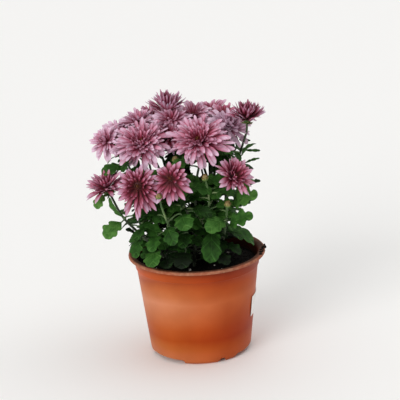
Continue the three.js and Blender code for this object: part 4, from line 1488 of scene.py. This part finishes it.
def makeLeaf():
    # Chrysanthemum leaf: soft dull green with a felt of tiny hairs, and paler sunken veins that run
    # from the midrib to each lobe. Each leaf is lighter or darker by its tone, carried in its chance
    # attribute besides a random part, and that tone is painted light and shade.
    material, tree, shader = newMaterial("lobedLeaf", 0.62, Specular_IOR_Level=0.15)
    place = addNode(tree, "ShaderNodeTexCoord").outputs["Object"]
    made = uvLayer(tree, "u", "v")
    made["chance"] = addNode(tree, "ShaderNodeAttribute", attribute_name="chance").outputs["Fac"]
    for name, size, detail in (("mottle", 5, 3), ("felt", 0.9, 2)):
        inputs = {"Vector": place, "Scale": perMetre(size), "Detail": detail}
        made[name] = addNode(tree, "ShaderNodeTexNoise", inputs)
    addSums(tree, made, """
        centred = u - 0.5
        fromRib = absolute centred
        ribNear = fromRib / 0.035
        ribFar = minimum ribNear 1
        veinOff = pingpong v 0.147
        veinNear = veinOff / 0.03
        veinFar = minimum veinNear 1
        bareAll = ribFar * veinFar
        cloudy = mottle * 0.35 + 0.325
        toned = chance * 0.2 + cloudy
        edged = fromRib * 0.12 + toned
        tone = bareAll * -0.08 + edged
        height = felt * 0.3 + bareAll
    """)
    blade = addNode(tree, "ShaderNodeValToRGB", {"Fac": made["tone"]},
                    [(0.22, "0a1605"), (0.39, "19340e"), (0.52, "2c561b"), (0.72, "56833a")])
    bump = addNode(tree, "ShaderNodeBump", {"Height": made["height"], "Strength": 0.5, "Distance": 0.001})
    setInputs(tree, shader, {"Base Color": blade, "Normal": bump})
    return material


calyxWhorl = dict(
    petals=22, crown=0.8, middleWidth=0.9, open=88.0, shut=62.0, curl=-22.0, middleCurl=-30.0,
    foot=-4.6, climb=1.2, cup=0.35,
)
budScaleWhorl = dict(
    petals=18, reach=7.6, crown=0.72, width=3.8, middleWidth=0.85, open=46.0, shut=40.0, curl=-48.0,
    middleCurl=-54.0, core=0.8, foot=-2.4, climb=0.8, cup=0.3, wobble=0.5, thickness=0.12,
)
packedWhorl = budScaleWhorl | dict(
    petals=22, reach=5.6, crown=0.8, width=2.4, middleWidth=0.8, open=40.0, shut=12.0, curl=-46.0,
    middleCurl=-30.0, core=1.0, foot=0.5, climb=1.0,
)
budGrowth = 0.82                    # a bud's size against its listed sizes
# radius and height in mm, and for a cup the radius as a share of its bloom's core
budProfile = [(0, -2), (2.2, -1), (2.9, 1.2), (2.6, 3.2), (1.5, 4.4), (0, 4.8)]
cupProfile = [(0, -5.2), (0.55, -4.2), (0.95, -2), (0.92, -0.3), (0, -0.3)]


def buildCalyx(name, number, tree, blank, bract):
    # the green cup under a bloom, with its overlapping bracts
    core = coreRadius(name) * 0.9
    place, axis = bloomPlace(name)
    cup = lathed("calyxCup", [(core * share, z) for share, z in cupProfile], 16)
    cup.materials.append(bract)
    bracts = grown(tree, {
        **calyxWhorl, "blank": blank, "reach": core * 1.75, "width": core * 0.75, "core": core * 0.35,
        "level": math.hypot(axis.x, axis.y), "seed": 200 + number, "material": bract,
    })
    for mesh in (cup, bracts):
        mesh.transform(place)
    return [shadeSmooth(cup), shadeSmooth(bracts)]


def buildBud(place, axis, number, tree, blank, bract, young):
    ball = lathed("budHeart", budProfile, 14)
    ball.materials.append(young)
    scales = grown(tree, {**budScaleWhorl, "blank": blank, "seed": 300 + number, "material": bract})
    packed = grown(tree, {**packedWhorl, "blank": blank, "seed": 350 + number, "material": young})
    for mesh in (ball, scales, packed):
        mesh.transform(aimedAlong(place, axis) @ Matrix.Scale(budGrowth, 4))
    return [shadeSmooth(mesh) for mesh in (ball, scales, packed)]


def buildStem(name, number, trees, blanks, finishes, taken):
    stem, leafThickness = stems[name], stemSizes["leafStalk"]
    paths, buds = stemPaths(stem)
    leaves, fillers, stalks = [], [], []
    for i, (neck, tip, width, *rest) in enumerate(stem["leaves"]):
        neck = Vector(neck)
        tip = neck + (Vector(tip) - neck) * leafSizes["growth"]
        leaves.append(plantedLeaf(neck, tip, width, number * 40 + i, *rest))
        stalks.append((leafStalk(leafFoot(paths, neck), leaves[-1]), leafThickness))
    for foot, leaf in fillerLeaves(paths, number, taken):
        fillers.append(leaf)
        stalks.append((leafStalk(foot, leaf), leafThickness))
    green = grown(trees["stem"], {**stemSizes, "material": finishes["stem"]}, pathCurve(paths + stalks))
    hairs = {**hairSizes, "seed": 400 + number, "material": finishes["hair"]}
    meshes = [shadeSmooth(green), grown(trees["hair"], hairs, green.copy())]
    for blank, kind in (("leaf", leaves), ("filler", fillers)):
        values = {**leafSizes, "blank": blanks[blank], "material": finishes["leaf"]}
        blades = grown(trees["leaf"], values, leafPoints(kind))
        for key in (*leafWays, *leafMeasures, *leafEdges):
            if key != "chance":
                blades.attributes.remove(blades.attributes[key])
        meshes.append(shadeSmooth(blades))
    whorl, scale, bract = trees["whorl"], blanks["scale"], finishes["bract"]
    for i, (bloom, height, way) in enumerate(stem["stalks"]):
        meshes += buildCalyx(bloom, number * 10 + i, whorl, scale, bract)
    for i, (place, axis) in enumerate(buds):
        meshes += buildBud(place, axis, number * 10 + i, whorl, scale, bract, finishes["young"])
    finishPiece("leafyStem" + name[-1], meshes, name)


blanks["leaf"] = leafBlank(*leafSizes["mesh"])
blanks["filler"] = leafBlank(*fillerSizes["mesh"])
trees = {"whorl": whorl, "stem": stemTree(), "hair": hairTree(), "leaf": leafTree()}
finishes = {
    "stem": makeStem(), "leaf": makeLeaf(),
    # Bracts and bud scales: green and leathery, with thin yellow brown edges.
    "bract": shadedToTip("budScale", 0.55, 0.5, [(0.2, "3c6029"), (0.88, "6f8a44"), (1.0, "a88f58")]),
    # Plant hairs: colourless and translucent, seen as pale green.
    "hair": newMaterial("plantHair", 0.5, Base_Color=linear("c3cfae"))[0],
    # Petals packed in a bud: waxy, yellow green going pink at the crown.
    "young": speckled("youngPetal", 0.5, 2.5, 2, [(0.35, "8f8a4c"), (0.6, "b3956a")]),
}
leafSpots = [(Vector(leaf[0]) + Vector(leaf[1])) / 2 for stem in stems.values() for leaf in stem["leaves"]]
for number, name in enumerate(stems):
    buildStem(name, number, trees, blanks, finishes, leafSpots)
print("leafy stems are built")


for blank in blanks.values():
    bpy.data.objects.remove(blank)
